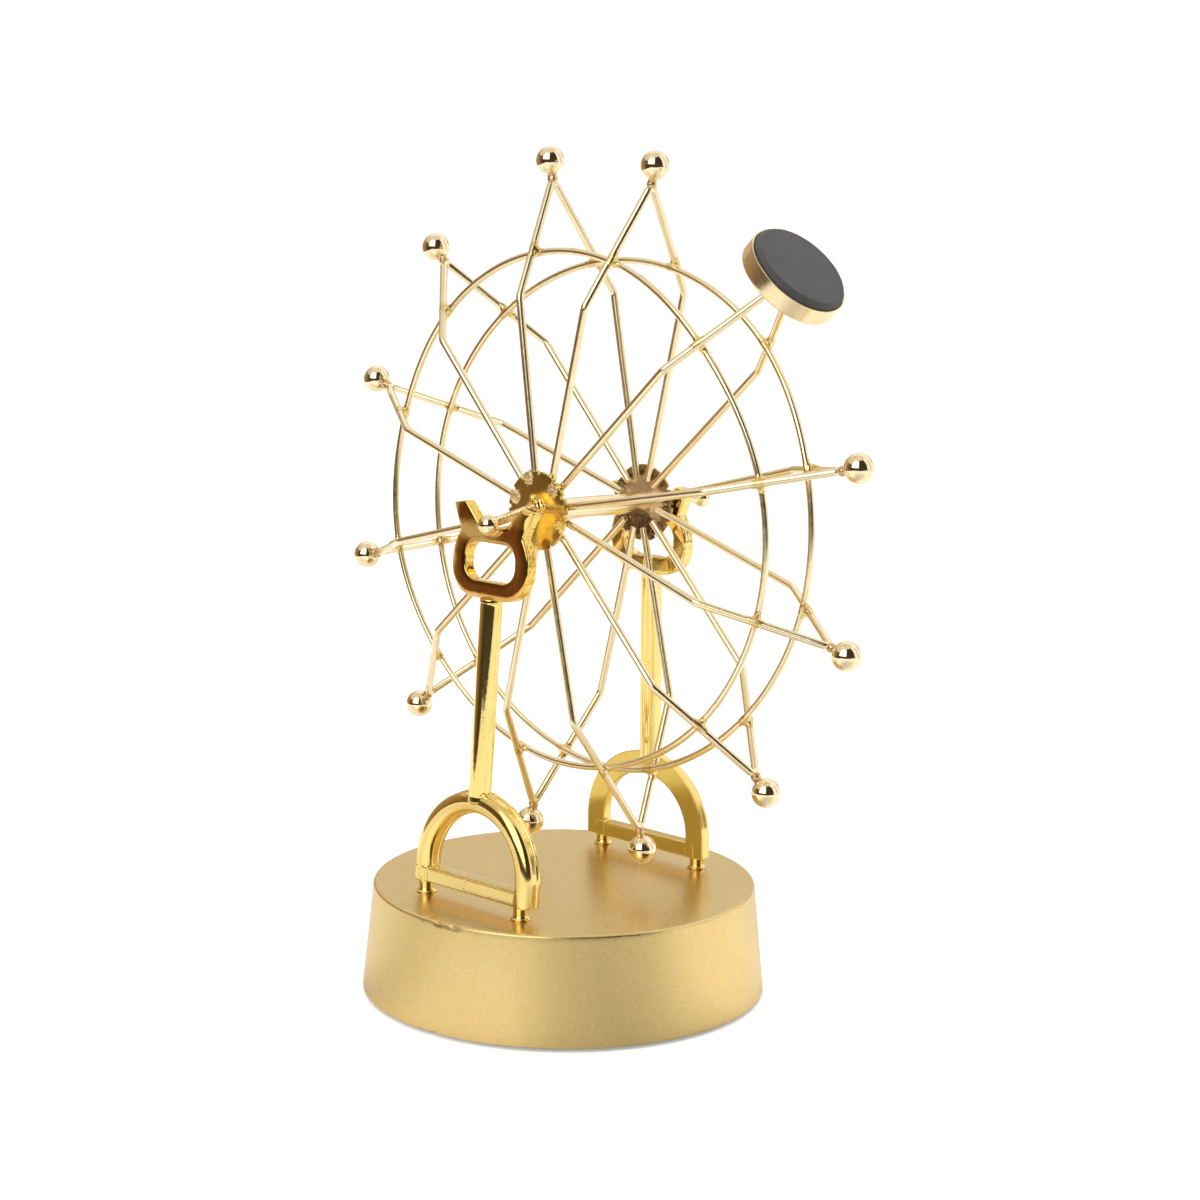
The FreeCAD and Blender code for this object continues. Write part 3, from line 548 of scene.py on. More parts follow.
def rear_foot_material():
    """The stand's plating, with a warmer, less metallic yellow on the faces turned to -Y, the flat side of the rear
    foot.
    """
    m = Mat("gold_rear_foot")
    base = m.ramp(m.noise(110.0, 4.0, 0.6), [(0.3, (0.94, 0.69, 0.21)), (0.62, (0.98, 0.76, 0.28))])
    geo = m.node("ShaderNodeNewGeometry")
    sep = m.node("ShaderNodeSeparateXYZ")
    m.link(geo.outputs["Normal"], sep.inputs[0])
    flat = m.remap(sep.outputs[1], -0.85, -0.96, 0.0, 1.0, True)
    col = m.mix(flat, base, (0.98, 0.72, 0.14))
    n = m.bump(m.noise(990.0, 3.0, 0.6), 0.05, 0.0001)
    n = m.bump(m.noise(330.0, 2.0, 0.5), 0.045, 0.0004, n)
    m.set(color=col, metal=m.remap(flat, 0.0, 1.0, 1.0, 0.62), rough=m.remap(m.noise(660.0, 5.0, 0.65), 0.3, 0.75, 0.09, 0.17),
          normal=n, coat=0.4, coat_rough=0.06)
    return m.m


mat_foot_rear = rear_foot_material()
mat_cradle = cradle_material()
mat_wire = gold("gold_pale_wire", WIRE, WIRE_D, (0.16, 0.27), 0.06, 0.35, 120)
mat_ball = gold("gold_pale_ball", (0.98, 0.85, 0.58), (0.95, 0.80, 0.51), (0.03, 0.07), 0.012, 0.0, 150)
mat_solder = gold("gold_solder", (0.95, 0.76, 0.37), (0.74, 0.52, 0.22), (0.16, 0.34), 0.25, 0.5, 420)
mat_neck = gold("gold_neck_solder", (0.84, 0.60, 0.31), (0.56, 0.36, 0.17), (0.20, 0.36), 0.22, 0.4, 500)
mat_thread = gold("gold_thread", (0.94, 0.78, 0.46), (0.74, 0.55, 0.28), (0.18, 0.34), 0.25, 0.6, 420)
mat_spot = gold("solder_spot", (0.95, 0.78, 0.48), (0.64, 0.45, 0.22), (0.24, 0.42), 0.3, 0.3, 600)


def base_material():
    m = Mat("gold_satin_flake")
    grain = m.noise(3600.0, 2.0, 0.6)
    grain2 = m.noise(1500.0, 3.0, 0.6)
    drift = m.noise(45.0, 3.0, 0.5)
    col = m.ramp(drift, [(0.3, (0.82, 0.622, 0.27)), (0.7, (0.85, 0.647, 0.29))])
    fl = m.remap(grain, 0.36, 0.66, 0.93, 1.045)
    comb = m.node("ShaderNodeCombineColor")
    for i in range(3):
        m.link(fl, comb.inputs[i])
    col = m.mix(1.0, col, comb.outputs[0], "MULTIPLY")
    # handling marks: faint, paler scuffs
    sc = m.noise(240.0, 6.0, 0.75, distortion=0.6)
    mask = m.remap(sc, 0.72, 0.80, 0.0, 0.2, True)
    col = m.mix(mask, col, (0.90, 0.72, 0.42))
    r = m.remap(grain2, 0.3, 0.7, 0.26, 0.32)
    n = m.bump(grain, 0.10, 0.0001)
    n = m.bump(grain2, 0.03, 0.00015, n)
    m.set(color=col, metal=0.97, rough=r, normal=n)
    return m.m


def radial(m, cx, cz, y_axis=True):
    """Distance from a line along Y through (cx, cz), in metres, and the direction's angle node inputs."""
    sep = m.node("ShaderNodeSeparateXYZ")
    m.link(m.co.outputs["Object"], sep.inputs[0])
    dx = m.math("SUBTRACT", sep.outputs[0], cx)
    dz = m.math("SUBTRACT", sep.outputs[2], cz)
    r = m.math("SQRT", m.math("ADD", m.math("MULTIPLY", dx, dx), m.math("MULTIPLY", dz, dz)))
    return dx, dz, r, sep.outputs[1]


def hub_front_material(zc):
    """Polished stamped disc; a thin brown film near the rim and fine speckles."""
    m = Mat("gold_hub_front")
    dx, dz, r, yy = radial(m, 0.0, zc)
    base = m.ramp(m.noise(300.0, 4.0, 0.6), [(0.3, (0.90, 0.66, 0.19)), (0.7, (0.96, 0.74, 0.26))])
    film = m.math("MULTIPLY", m.remap(r, 0.0052, 0.0092, 0.0, 1.0, True),
                  m.remap(m.noise(420.0, 5.0, 0.7, distortion=0.8), 0.42, 0.68, 0.0, 0.55, True))
    col = m.mix(film, base, (0.34, 0.19, 0.07))
    # burnt wedge low on the disc
    wx = m.math("SUBTRACT", dx, 0.0032)
    wz = m.math("ADD", dz, 0.0078)
    wr = m.math("SQRT", m.math("ADD", m.math("MULTIPLY", wx, wx), m.math("MULTIPLY", wz, wz)))
    col = m.mix(m.remap(wr, 0.0010, 0.0019, 0.85, 0.0, True), col, (0.22, 0.085, 0.02))
    speck = m.remap(m.noise(1700.0, 3.0, 0.7), 0.62, 0.70, 0.0, 0.6, True)
    col = m.mix(speck, col, (0.42, 0.25, 0.09))
    rough = m.math("ADD", m.remap(m.noise(800.0, 3.0), 0.3, 0.7, 0.09, 0.15), m.math("MULTIPLY", film, 0.2))
    n = m.bump(m.noise(1200.0, 4.0, 0.7), 0.07, 0.0001)
    m.set(color=col, metal=1.0, rough=rough, normal=n)
    return m.m


def hub_rear_material(zc):
    """The same disc seen on its soldered face: matte above the tube; below it and round the rim dark brown to black,
    partly burnt flux and partly painted shade under the tube.
    """
    m = Mat("gold_hub_rear")
    dx, dz, r, yy = radial(m, 0.0, zc)
    base = m.ramp(m.noise(700.0, 5.0, 0.7), [(0.3, (0.76, 0.54, 0.31)), (0.7, (0.90, 0.70, 0.46))])
    # painted shade below the tube and round the rim, mixed with the dark of burnt flux
    low = m.math("ADD", m.math("MULTIPLY", dx, -0.45), m.math("MULTIPLY", dz, -0.89))
    edge = m.math("MULTIPLY", m.math("SUBTRACT", m.noise(480.0, 4.0, 0.7), 0.5), 0.006)
    mask = m.remap(m.math("ADD", low, edge), 0.0002, 0.0022, 0.0, 1.0, True)
    rim = m.remap(m.math("ADD", r, edge), 0.0062, 0.0076, 0.0, 0.85, True)
    dark = m.math("MAXIMUM", mask, rim)
    inner = m.remap(yy, 0.0272, 0.0268, 0.0, 1.0)
    dark = m.math("MULTIPLY", dark, inner)
    tone = m.ramp(m.noise(1100.0, 5.0, 0.7), [(0.32, (0.08, 0.045, 0.025)), (0.52, (0.24, 0.145, 0.075)), (0.74, (0.56, 0.38, 0.20))])
    col = m.mix(inner, (0.92, 0.70, 0.26), base)
    col = m.mix(dark, col, tone)
    rough = m.math("ADD", m.remap(inner, 0.0, 1.0, 0.10, 0.28), m.remap(m.noise(900.0, 4.0), 0.3, 0.7, 0.0, 0.12))
    n = m.bump(m.noise(900.0, 5.0, 0.7), 0.3, 0.00012)
    m.set(color=col, metal=0.95, rough=rough, normal=n)
    return m.m


def flux_material():
    m = Mat("burnt_flux")
    n1 = m.noise(900.0, 5.0, 0.7)
    col = m.ramp(n1, [(0.3, (0.06, 0.032, 0.018)), (0.52, (0.18, 0.095, 0.045)), (0.72, (0.58, 0.40, 0.19))])
    m.set(color=col, metal=0.7, rough=m.remap(n1, 0.3, 0.7, 0.22, 0.40), normal=m.bump(n1, 0.45, 0.00015))
    return m.m


def cup_material():
    m = Mat("gold_satin_cup")
    col = m.ramp(m.noise(200.0, 4.0, 0.6), [(0.3, (0.91, 0.74, 0.45)), (0.7, (0.96, 0.81, 0.53))])
    r = m.remap(m.noise(900.0, 4.0, 0.6), 0.3, 0.7, 0.20, 0.26)
    n = m.bump(m.noise(1300.0, 3.0, 0.6), 0.05, 0.0001)
    m.set(color=col, metal=0.97, rough=r, normal=n)
    return m.m


def ferrite_material():
    m = Mat("ferrite_sintered")
    n1 = m.noise(900.0, 6.0, 0.7)
    n2 = m.noise(110.0, 3.0, 0.5)
    col = m.mix(m.remap(n2, 0.3, 0.7, 0.0, 1.0), (0.072, 0.068, 0.072), (0.092, 0.087, 0.091))
    sp = m.remap(m.noise(3600.0, 2.0, 0.5), 0.62, 0.72, 0.0, 0.5, True)
    col = m.mix(sp, col, (0.15, 0.145, 0.15))
    r = m.remap(n1, 0.3, 0.7, 0.52, 0.68)
    n = m.bump(n1, 0.25, 0.00015)
    m.set(color=col, metal=0.0, rough=r, spec=0.45, normal=n)
    return m.m


def plastic(name, a, b, rough=(0.42, 0.58), grain=1400.0, bump=0.25):
    m = Mat(name)
    g = m.noise(grain, 3.0, 0.6)
    col = m.mix(m.remap(m.noise(60.0, 4.0, 0.6), 0.35, 0.65, 0.0, 1.0), a, b)
    # dust and light rubbing on the texture's tops
    dust = m.remap(m.noise(420.0, 6.0, 0.75), 0.58, 0.75, 0.0, 0.22, True)
    col = m.mix(dust, col, tuple(0.5 * x + 0.12 for x in b))
    r = m.remap(g, 0.3, 0.7, rough[0], rough[1])
    n = m.bump(g, bump, 0.00012)
    m.set(color=col, metal=0.0, rough=r, normal=n)
    return m.m


def steel(name, a, b, rough=(0.22, 0.38)):
    m = Mat(name)
    n1 = m.noise(700.0, 5.0, 0.65)
    col = m.mix(m.remap(n1, 0.3, 0.7, 0.0, 1.0), a, b)
    r = m.remap(m.noise(1500.0, 4.0, 0.6), 0.3, 0.7, rough[0], rough[1])
    n = m.bump(n1, 0.12, 0.0001)
    m.set(color=col, metal=1.0, rough=r, normal=n)
    return m.m


def copper_winding():
    m = Mat("copper_winding")
    w = m.node("ShaderNodeTexWave", wave_type="BANDS", bands_direction="Z")
    w.inputs["Scale"].default_value = 900.0
    w.inputs["Distortion"].default_value = 0.6
    w.inputs["Detail"].default_value = 1.0
    m.link(m.co.outputs["Object"], w.inputs["Vector"])
    col = m.ramp(w.outputs["Fac"], [(0.0, (0.22, 0.07, 0.02)), (0.5, (0.70, 0.30, 0.12)), (1.0, (0.82, 0.42, 0.2))])
    n = m.bump(w.outputs["Fac"], 0.6, 0.0002)
    m.set(color=col, metal=0.9, rough=m.remap(m.noise(800.0), 0.3, 0.7, 0.25, 0.4), normal=n)
    return m.m


mat_base = base_material()
mat_cup = cup_material()
mat_ferrite = ferrite_material()
mat_black = plastic("plastic_black", (0.022, 0.022, 0.023), (0.035, 0.034, 0.034))
mat_white = plastic("plastic_white", (0.72, 0.70, 0.64), (0.80, 0.79, 0.73), (0.35, 0.5))
mat_rubber = plastic("rubber_black", (0.016, 0.016, 0.017), (0.03, 0.03, 0.03), (0.62, 0.8), 900.0, 0.35)
mat_zinc = steel("steel_zinc", (0.52, 0.54, 0.56), (0.70, 0.70, 0.68))
mat_contact = steel("steel_nickel", (0.66, 0.65, 0.61), (0.80, 0.78, 0.74), (0.12, 0.25))
mat_cell = plastic("cell_jacket", (0.045, 0.05, 0.06), (0.07, 0.075, 0.085), (0.25, 0.35), 500.0, 0.05)
mat_board = plastic("board_green", (0.02, 0.13, 0.05), (0.03, 0.19, 0.07), (0.25, 0.4), 700.0, 0.12)
mat_device = plastic("device_black", (0.02, 0.02, 0.022), (0.035, 0.035, 0.038), (0.3, 0.45), 1200.0, 0.15)
mat_lead = plastic("lead_insulation", (0.45, 0.03, 0.025), (0.58, 0.06, 0.045), (0.32, 0.45), 900.0, 0.08)
mat_copper = copper_winding()
mat_hub_front = hub_front_material(0.12083)
mat_hub_rear = hub_rear_material(0.11936)
mat_flux = flux_material()

# ---------------------------------------------------------------- base drum
BASE_BOT, BASE_TOPR, BASE_Z0, BASE_Z1 = 50.0, 47.4, 0.8, 27.2


def build_drum():
    n = 512
    outer = [(0.0, BASE_Z1)]
    outer += [(r, BASE_Z1) for r in np.linspace(2.0, 46.4, 23)]
    outer += [(46.75 + 0.66 * math.sin(t), BASE_Z1 - 0.66 + 0.66 * math.cos(t)) for t in np.linspace(0.0, 1.47, 8)]
    outer += [(47.4 + 2.6 * (26.7 - z) / 25.9, z) for z in np.linspace(25.6, 1.6, 16)]
    outer += rounded([(49.93, 1.5), (50.0, 0.8), (49.4, 0.8)], 0.22, 3)[1:]
    inner = rounded([(49.4, 0.8), (48.8, 0.8), (46.2, 25.8), (20.0, 25.8)], [0.1, 0.6], 3)[1:]
    inner += [(0.0, 25.8)]
    v, f = lathe(outer + inner, n)
    # a small nick in the upper edge and two scuffs at the lower edge, front left
    ang = np.degrees(np.arctan2(v[:, 1], v[:, 0]))
    r = np.hypot(v[:, 0], v[:, 1])
    for a0, z0, wa, wz, depth in ((-84.8, 26.95, 1.3, 0.20, 0.26), (-79.4, 26.9, 1.4, 0.20, 0.24),
                                  (-82.0, 27.0, 0.5, 0.3, 0.10), (-91.0, 26.9, 0.5, 0.3, 0.10),
                                  (-84.0, 1.0, 1.3, 0.9, 0.30), (-88.8, 0.9, 0.7, 0.6, 0.20)):
        g = np.exp(-((ang - a0) / wa) ** 2 - ((v[:, 2] - z0) / wz) ** 2) * (r > 46.0)
        v[:, 0] -= v[:, 0] / np.maximum(r, 1) * depth * g
        v[:, 1] -= v[:, 1] / np.maximum(r, 1) * depth * g
        v[:, 2] -= depth * 0.6 * g * (1 if z0 > 10 else -1)
    ob = add_mesh("base_drum", v, f, sharp=50)
    put(ob, "base", mat_base, ["base_shell"])


build_drum()

# ---------------------------------------------------------------- stands
HEAD_Z = 82.45
SPIN_A, SPIN_B = np.array([0, -27.29, 119.077]), np.array([0, 30.35, 119.23])
SPIN_D = (SPIN_B - SPIN_A) / np.linalg.norm(SPIN_B - SPIN_A)
SIDES = {
    "front": (rot_x(-4.3), np.array([0, -31.6, 27.2]), 7.3, 116.53, -24.9),
    "rear": (rot_z(180) @ rot_x(-0.8), np.array([0, 31.6, 27.2]), 8.4, 117.91, 30.35),
}


def head_lines(low):
    """Closed outline of a cradle head as points, z relative to the head's centre."""
    def arc3(p, q, s, n):
        (x1, y1), (x2, y2), (x3, y3) = p, q, s
        d = 2 * (x1 * (y2 - y3) + x2 * (y3 - y1) + x3 * (y1 - y2))
        ux = ((x1 * x1 + y1 * y1) * (y2 - y3) + (x2 * x2 + y2 * y2) * (y3 - y1) + (x3 * x3 + y3 * y3) * (y1 - y2)) / d
        uy = ((x1 * x1 + y1 * y1) * (x3 - x2) + (x2 * x2 + y2 * y2) * (x1 - x3) + (x3 * x3 + y3 * y3) * (x2 - x1)) / d
        r = math.hypot(x1 - ux, y1 - uy)
        a1, a2, a3 = (math.atan2(y - uy, x - ux) for x, y in (p, q, s))

        def unwrap(a, ref):
            while a - ref > math.pi:
                a -= 2 * math.pi
            while a - ref < -math.pi:
                a += 2 * math.pi
            return a
        a2 = unwrap(a2, a1)
        a3 = unwrap(a3, a2)
        return [(ux + r * math.cos(a1 + (a3 - a1) * i / n), uy + r * math.sin(a1 + (a3 - a1) * i / n))
                for i in range(n + 1)]
    r = 2.6
    cz = low + r
    a = math.radians(68)
    g = (r * math.sin(a), cz - r * math.cos(a))
    nt = (4.3, g[1] + 0.45)
    k = 7.4 * math.sqrt(0.5)
    right = [(0.0, -8.3), (2.6, -8.3)]
    right += arc3((5.2, -8.3), (5.2 + k, -0.9 - k), (12.6, -0.9), 44)
    side = arc3((12.6, 0.8), (11.9, 4.2), (10.3, 7.2), 24)
    ear = [(13.2, 13.6), (9.2, 14.4), nt, g]
    # round the waist and the ear's corners
    w0 = side[-4]
    right += side[:-4]
    corner = [w0, (10.3, 7.2), ear[0], ear[1], ear[2], ear[3]]
    right += rounded(corner, [3.4, 0.7, 0.75, 0.6], 9)[:-1]
    sad = [(r * math.sin(t), cz - r * math.cos(t)) for t in np.linspace(a, 0, 14)]
    right += sad
    left = [(-x, y) for x, y in right[::-1]]
    pts = right + left[1:-1]
    return np.array(pts)


def hole_lines():
    pts = []
    for cx, cy, a0 in ((8.25 - 3.8, 5.0 - 3.8, 0), (-8.25 + 3.8, 5.0 - 3.8, 90),
                       (-8.25 + 3.8, -4.0 + 3.8, 180), (8.25 - 3.8, -4.0 + 3.8, 270)):
        pts += [(cx + 3.8 * math.cos(math.radians(a0 + t)), cy + 3.8 * math.sin(math.radians(a0 + t)))
                for t in np.linspace(0, 90, 28)]
    return np.array(pts)


def seg_dist(p, loop):
    """Unsigned distance and inside flag of 2-D points to a closed polyline."""
    best = np.full(len(p), 1e9)
    inside = np.zeros(len(p), bool)
    a = loop
    b = np.roll(loop, -1, 0)
    for (ax_, ay), (bx, by) in zip(a, b):
        ex, ey = bx - ax_, by - ay
        l2 = ex * ex + ey * ey
        if l2 < 1e-12:
            continue
        px, py = p[:, 0] - ax_, p[:, 1] - ay
        t = np.clip((px * ex + py * ey) / l2, 0, 1)
        d = (px - t * ex) ** 2 + (py - t * ey) ** 2
        best = np.minimum(best, d)
        cross = ((ay > p[:, 1]) != (by > p[:, 1]))
        if cross.any() and abs(by - ay) > 1e-12:
            xi = ax_ + (p[:, 1] - ay) * ex / (by - ay)
            inside ^= cross & (p[:, 0] < xi)
    return np.sqrt(best), inside


def build_cradle(side):
    rot, org, low, saddle_z, yc = SIDES[side]
    outer, hole = head_lines(low), hole_lines()
    inv = rot.T
    # saddle line in the head's own frame
    p0 = np.array([0, yc, saddle_z + 2.6])
    lp = inv @ (p0 - org)
    ld = inv @ SPIN_D

    def d2(xz):
        q = xz.copy()
        q[:, 1] -= HEAD_Z
        do, io = seg_dist(q, outer)
        dh, ih = seg_dist(q, hole)
        s_out = np.where(io, -do, do)
        s_hole = np.where(ih, dh, -dh)
        return np.maximum(s_out, s_hole)

    # the outline is the same at every depth, so it is worked out once on a fine grid
    g = 0.1
    gx = np.arange(-13.4, 13.4 + g, g)
    gz = np.arange(HEAD_Z - 9.2, HEAD_Z + 15.2 + g, g)
    table = d2(np.stack(np.meshgrid(gx, gz, indexing="ij"), -1).reshape(-1, 2)).reshape(len(gx), len(gz))

    def look(x, z):
        u = np.clip((x - gx[0]) / g, 0, len(gx) - 1.001)
        w = np.clip((z - gz[0]) / g, 0, len(gz) - 1.001)
        i, j = u.astype(int), w.astype(int)
        u, w = u - i, w - j
        return (table[i, j] * (1 - u) * (1 - w) + table[i + 1, j] * u * (1 - w)
                + table[i, j + 1] * (1 - u) * w + table[i + 1, j + 1] * u * w)

    exact = {"on": False}
    af, ab, hb, half = 2.2, 0.55, 0.45, 1.7

    def func(p):
        d = d2(p[:, [0, 2]].copy()) if exact["on"] else look(p[:, 0], p[:, 2])
        y = p[:, 1]
        # cast side walls are a little lumpy
        d = d + 0.05 * wobble(p, 1.7, 9) * np.clip((y + 1.35) / 0.7, 0, 1)
        e = np.clip((p[:, 2] - HEAD_Z - 7.0) / 4.5, 0, 1) * np.clip(p[:, 0] / 2.0, 0, 1)
        hf = 0.42 + 0.95 * e * e * (3 - 2 * e)
        uf = np.maximum(d + af, 0) / af
        vf = np.maximum(-y - (half - hf), 0) / hf
        ff = (np.sqrt(uf ** 2 + vf ** 2 + 1e-9) - 1) * hf
        ub = np.maximum(d + ab, 0) / ab
        vb = np.maximum(y - (half - hb), 0) / hb
        fb = (np.sqrt(ub ** 2 + vb ** 2 + 1e-9) - 1) * hb
        f = smax(ff, fb, 0.05)
        w = p - lp
        w = w - (w @ ld)[:, None] * ld
        cyl = 2.6 - np.linalg.norm(w, axis=1)
        near = (p[:, 2] > HEAD_Z + 5.5)
        return np.where(near, smax(f, cyl, 0.22), f)
    h = 0.2
    v, f, nrm = surface_net(func, (-13.3, -2.1, HEAD_Z - 9.0), (13.3, 2.1, HEAD_Z + 15.0), h,
                            passes=5, eps=0.03, n_eps=0.12)
    exact["on"] = True
    for _ in range(2):
        gr = np.zeros_like(v)
        for i in range(3):
            s = np.zeros(3)
            s[i] = 0.03
            gr[:, i] = (func(v + s) - func(v - s)) / 0.06
        fv = func(v)
        st = (fv / np.maximum((gr * gr).sum(1), 5e-2))[:, None] * gr
        ln = np.linalg.norm(st, axis=1)[:, None]
        v = v - st * np.minimum(1, 0.05 / np.maximum(ln, 1e-9))
    nr = np.zeros_like(v)
    for i in range(3):
        s = np.zeros(3)
        s[i] = 0.13
        nr[:, i] = func(v + s) - func(v - s)
    nr /= np.maximum(np.linalg.norm(nr, axis=1)[:, None], 1e-9)
    nr = smooth_normals(nr, f, 2)
    ob = add_mesh("cradle_" + side, to_world(v, rot, org), f, normals=nr @ rot.T)
    put(ob, "base", mat_cradle if side == "front" else mat_stand, [side + "_cradle"])


def smooth_normals(nr, faces, passes):
    f = np.array([q if len(q) == 4 else list(q) + [q[-1]] for q in faces])
    for _ in range(passes):
        acc = nr.copy()
        for a in range(4):
            b = (a + 1) % 4
            np.add.at(acc, f[:, a], nr[f[:, b]])
            np.add.at(acc, f[:, b], nr[f[:, a]])
        nr = acc / np.maximum(np.linalg.norm(acc, axis=1)[:, None], 1e-9)
    return nr


def build_foot(side):
    rot, org = SIDES[side][:2]
    R, zc, zb, hw = 16.95, 8.0, 2.8, 2.55

    def rbox(p, c, hx, hy, hz, r):
        q = np.abs(p - np.array(c)) - (np.array([hx, hy, hz]) - r)
        return np.linalg.norm(np.maximum(q, 0), axis=1) + np.minimum(q.max(1), 0) - r

    def func(p):
        x, y, z = p[:, 0], p[:, 1], p[:, 2]
        q = np.where(z < zc, np.abs(x), np.hypot(x, z - zc)) - R
        # half-round bead with a flange behind it
        yy = np.minimum(y + 0.25, 0)
        e = np.sqrt((q / hw) ** 2 + (yy / 1.95) ** 2 + 1e-9)
        bead = (e - 1) * 1.95
        bead = np.maximum(bead, y - 1.6)
        fq = np.abs(q) - (hw + 0.33 - 0.22)
        fy = np.abs(y - 1.72) - (0.48 - 0.22)
        fl = np.hypot(np.maximum(fq, 0), np.maximum(fy, 0)) + np.minimum(np.maximum(fq, fy), 0) - 0.22
        arch = smin(bead, fl, 0.18)
        arch = smax(arch, zb - z, 0.3)
        # the bar along the bottom, with a narrow step on its front top edge
        bar = rbox(p, (0, 0.25, 4.5), R - 0.2, 1.95, 1.70, 0.22)
        strip = rbox(p, (0, 0.55, 6.1), R - 0.4, 1.65, 0.42, 0.12)
        bar = smin(bar, strip, 0.08)
        # end block at the left limb, seen from the outside
        blk = rbox(p, (-R + 0.4, 0.0, 4.6), 2.15, 2.0, 1.8, 0.25) + (0.0 if side == "front" else 3.0)
        seam = np.maximum(np.abs(x + 1.6 + 0.25 * np.sin(z * 2.1)) - 0.05, -y - 1.78)
        seam = np.maximum(seam, np.abs(y + 1.7) - 0.07)
        bar = smax(bar, -seam, 0.06)
        f = smin(arch, smin(bar, blk, 0.12), 0.28)
        # solder lumps where the post stands on the arch
        for cx, cy, cz, rx, rz in ((-2.4, -0.9, R + zc + 2.3, 1.5, 0.7), (2.1, -1.0, R + zc + 2.3, 1.5, 0.65),
                                   (0.2, 1.0, R + zc + 2.4, 2.6, 0.5)):
            s = np.sqrt(((x - cx) / rx) ** 2 + ((y - cy) / 1.0) ** 2 + ((z - cz) / rz) ** 2)
            f = smin(f, (s - 1) * rz, 0.35)
        return f + 0.012 * wobble(p, 6.0, 5) * 0.6
    v, f, nr = surface_net(func, (-20.4, -2.6, 2.2), (20.4, 2.6, 28.4), 0.21, passes=5, eps=0.02, n_eps=0.05)
    ob = add_mesh("foot_" + side, to_world(v, rot, org), f, normals=nr @ rot.T)
    put(ob, "base", mat_stand if side == "front" else mat_foot_rear, [side + "_foot"])


def build_post(side):
    rot, org = SIDES[side][:2]
    zt = HEAD_Z - 8.2
    prof = [(0, 24.6), (2.2, 24.6)]
    prof += rounded([(2.2, 24.6), (2.9, 25.4), (2.75, 26.6), (2.75, 30.0)], [0.3, 0.8], 4)[1:]
    prof += [(2.75, z) for z in np.linspace(33, 72.6, 14)]
    prof += rounded([(2.75, 72.7), (2.75, 73.3), (2.84, 73.4), (2.84, zt), (0, zt)], [0.05, 0.05, 0.3], 3)[1:]
    v, f = lathe(prof, 96)
    # barely out of round, as drawn tube is
    a = np.arctan2(v[:, 1], v[:, 0])
    k = 1 + 0.0028 * np.sin(2 * a + v[:, 2] * 0.03) + 0.0012 * np.sin(5 * a + v[:, 2] * 0.11)
    v[:, 0] *= k
    v[:, 1] *= k
    ob = add_mesh("post_" + side, to_world(v, rot, org), f, sharp=40)
    put(ob, "base", mat_post, [side + "_post"])


def build_pins():
    parts = []
    for sx in (-1, 1):
        for sy in (-1, 1):
            prof = [(0, 20.2), (1.5, 20.2), (1.5, 26.9), (2.35, 27.2)]
            prof += rounded([(2.35, 27.2), (2.5, 27.28), (2.5, 27.5), (2.1, 27.72), (1.86, 28.3), (1.9, 31.0),
                             (1.75, 31.4), (0, 31.4)], [0.05, 0.12, 0.3, 0.4, 0.15, 0.1], 3)[1:]
            prof = [(r * (0.96 if sy > 0 else 1.0), z) for r, z in prof]
            parts.append(lathe(prof, 48, (sx * 16.2, sy * 31.6, 0)))
    v, f, _, _ = merge(parts)
    ob = add_mesh("pins", v, f, sharp=40)
    put(ob, "base", mat_stand, ["stand_pins"])


for s in ("front", "rear"):
    build_cradle(s)
    build_foot(s)
    build_post(s)
build_pins()

# ---------------------------------------------------------------- wheel
W_ROT, W_ORG = rot_x(-1.119), np.array([0, 8.2, 118.384])
SPOKES = [
    ("01", (86.76, 101.39), (53.41, 100.68, 112.0), (53.83, 100.92, 99.0)),
    ("02", (86.29, 78.41), (52.57, 77.26, 66.5), (55.79, 76.50, 66.0)),
    ("03", (84.59, 132.47), (54.44, 132.05, 138.0), (51.41, 130.42, 127.0)),
    ("04", (83.32, 161.06), (51.68, 160.57, 166.0), (51.36, 160.68, 160.0)),
    ("05", (84.22, 193.82), (52.06, 192.72, 195.0), (51.20, 193.10, 194.6)),
    ("06", (83.32, 223.47), (48.90, 222.00, 227.0), (50.30, 223.90, 224.5)),
    ("07", (83.12, 257.07), (49.86, 256.78, 259.0), (50.04, 257.24, 257.0)),
    ("08", (83.26, 283.90), (49.67, 283.33, 279.5), (47.60, 285.35, 285.0)),
    ("09", (83.29, 314.33), (51.00, 315.90, 321.0), (49.88, 315.52, 316.5)),
    ("10", (83.44, 343.43), (51.03, 344.09, 347.0), (51.96, 345.09, 350.0)),
    ("11", (83.34, 373.20), (51.54, 373.13, 371.0), (51.50, 376.40, 374.0)),
]
MAGNET_SPOKE = ((52.95, 46.19, 45.0), (52.51, 44.71, 45.5))
RING_FRONT = (61.82, 0.47, 0.95, -0.68, -1.00, 0.33, -0.19)
RING_REAR = (62.73, -0.08, -1.30, -0.11, 0.06, -0.32, 0.04)
WIRE_R, RING_R, KNEE_Y, TIP = 0.95, 0.85, 16.8, 4.55
AX_F, AX_K, AX_R = np.array([0, -35.5, 0.0]), np.array([0, -21.5, 2.131]), np.array([0, 40.89, 0.915])


def polar(r, ang, y):
    a = math.radians(ang)
    return np.array([r * math.cos(a), y, r * math.sin(a)])


def rod_z(y):
    return AX_K[2] + (AX_R[2] - AX_K[2]) * (y - AX_K[1]) / (AX_R[1] - AX_K[1])


def wheel_pts(v):
    return to_world(v, W_ROT, W_ORG)


def wire_start(knee, side):
    return polar(6.4, knee[2], side * 17.27) + np.array([0, 0, rod_z(side * 18.8)])


def ring_radius(table, ang):
    t = math.radians(ang)
    return table[0] + sum(table[2 * k - 1] * math.cos(k * t) + table[2 * k] * math.sin(k * t) for k in (1, 2, 3))


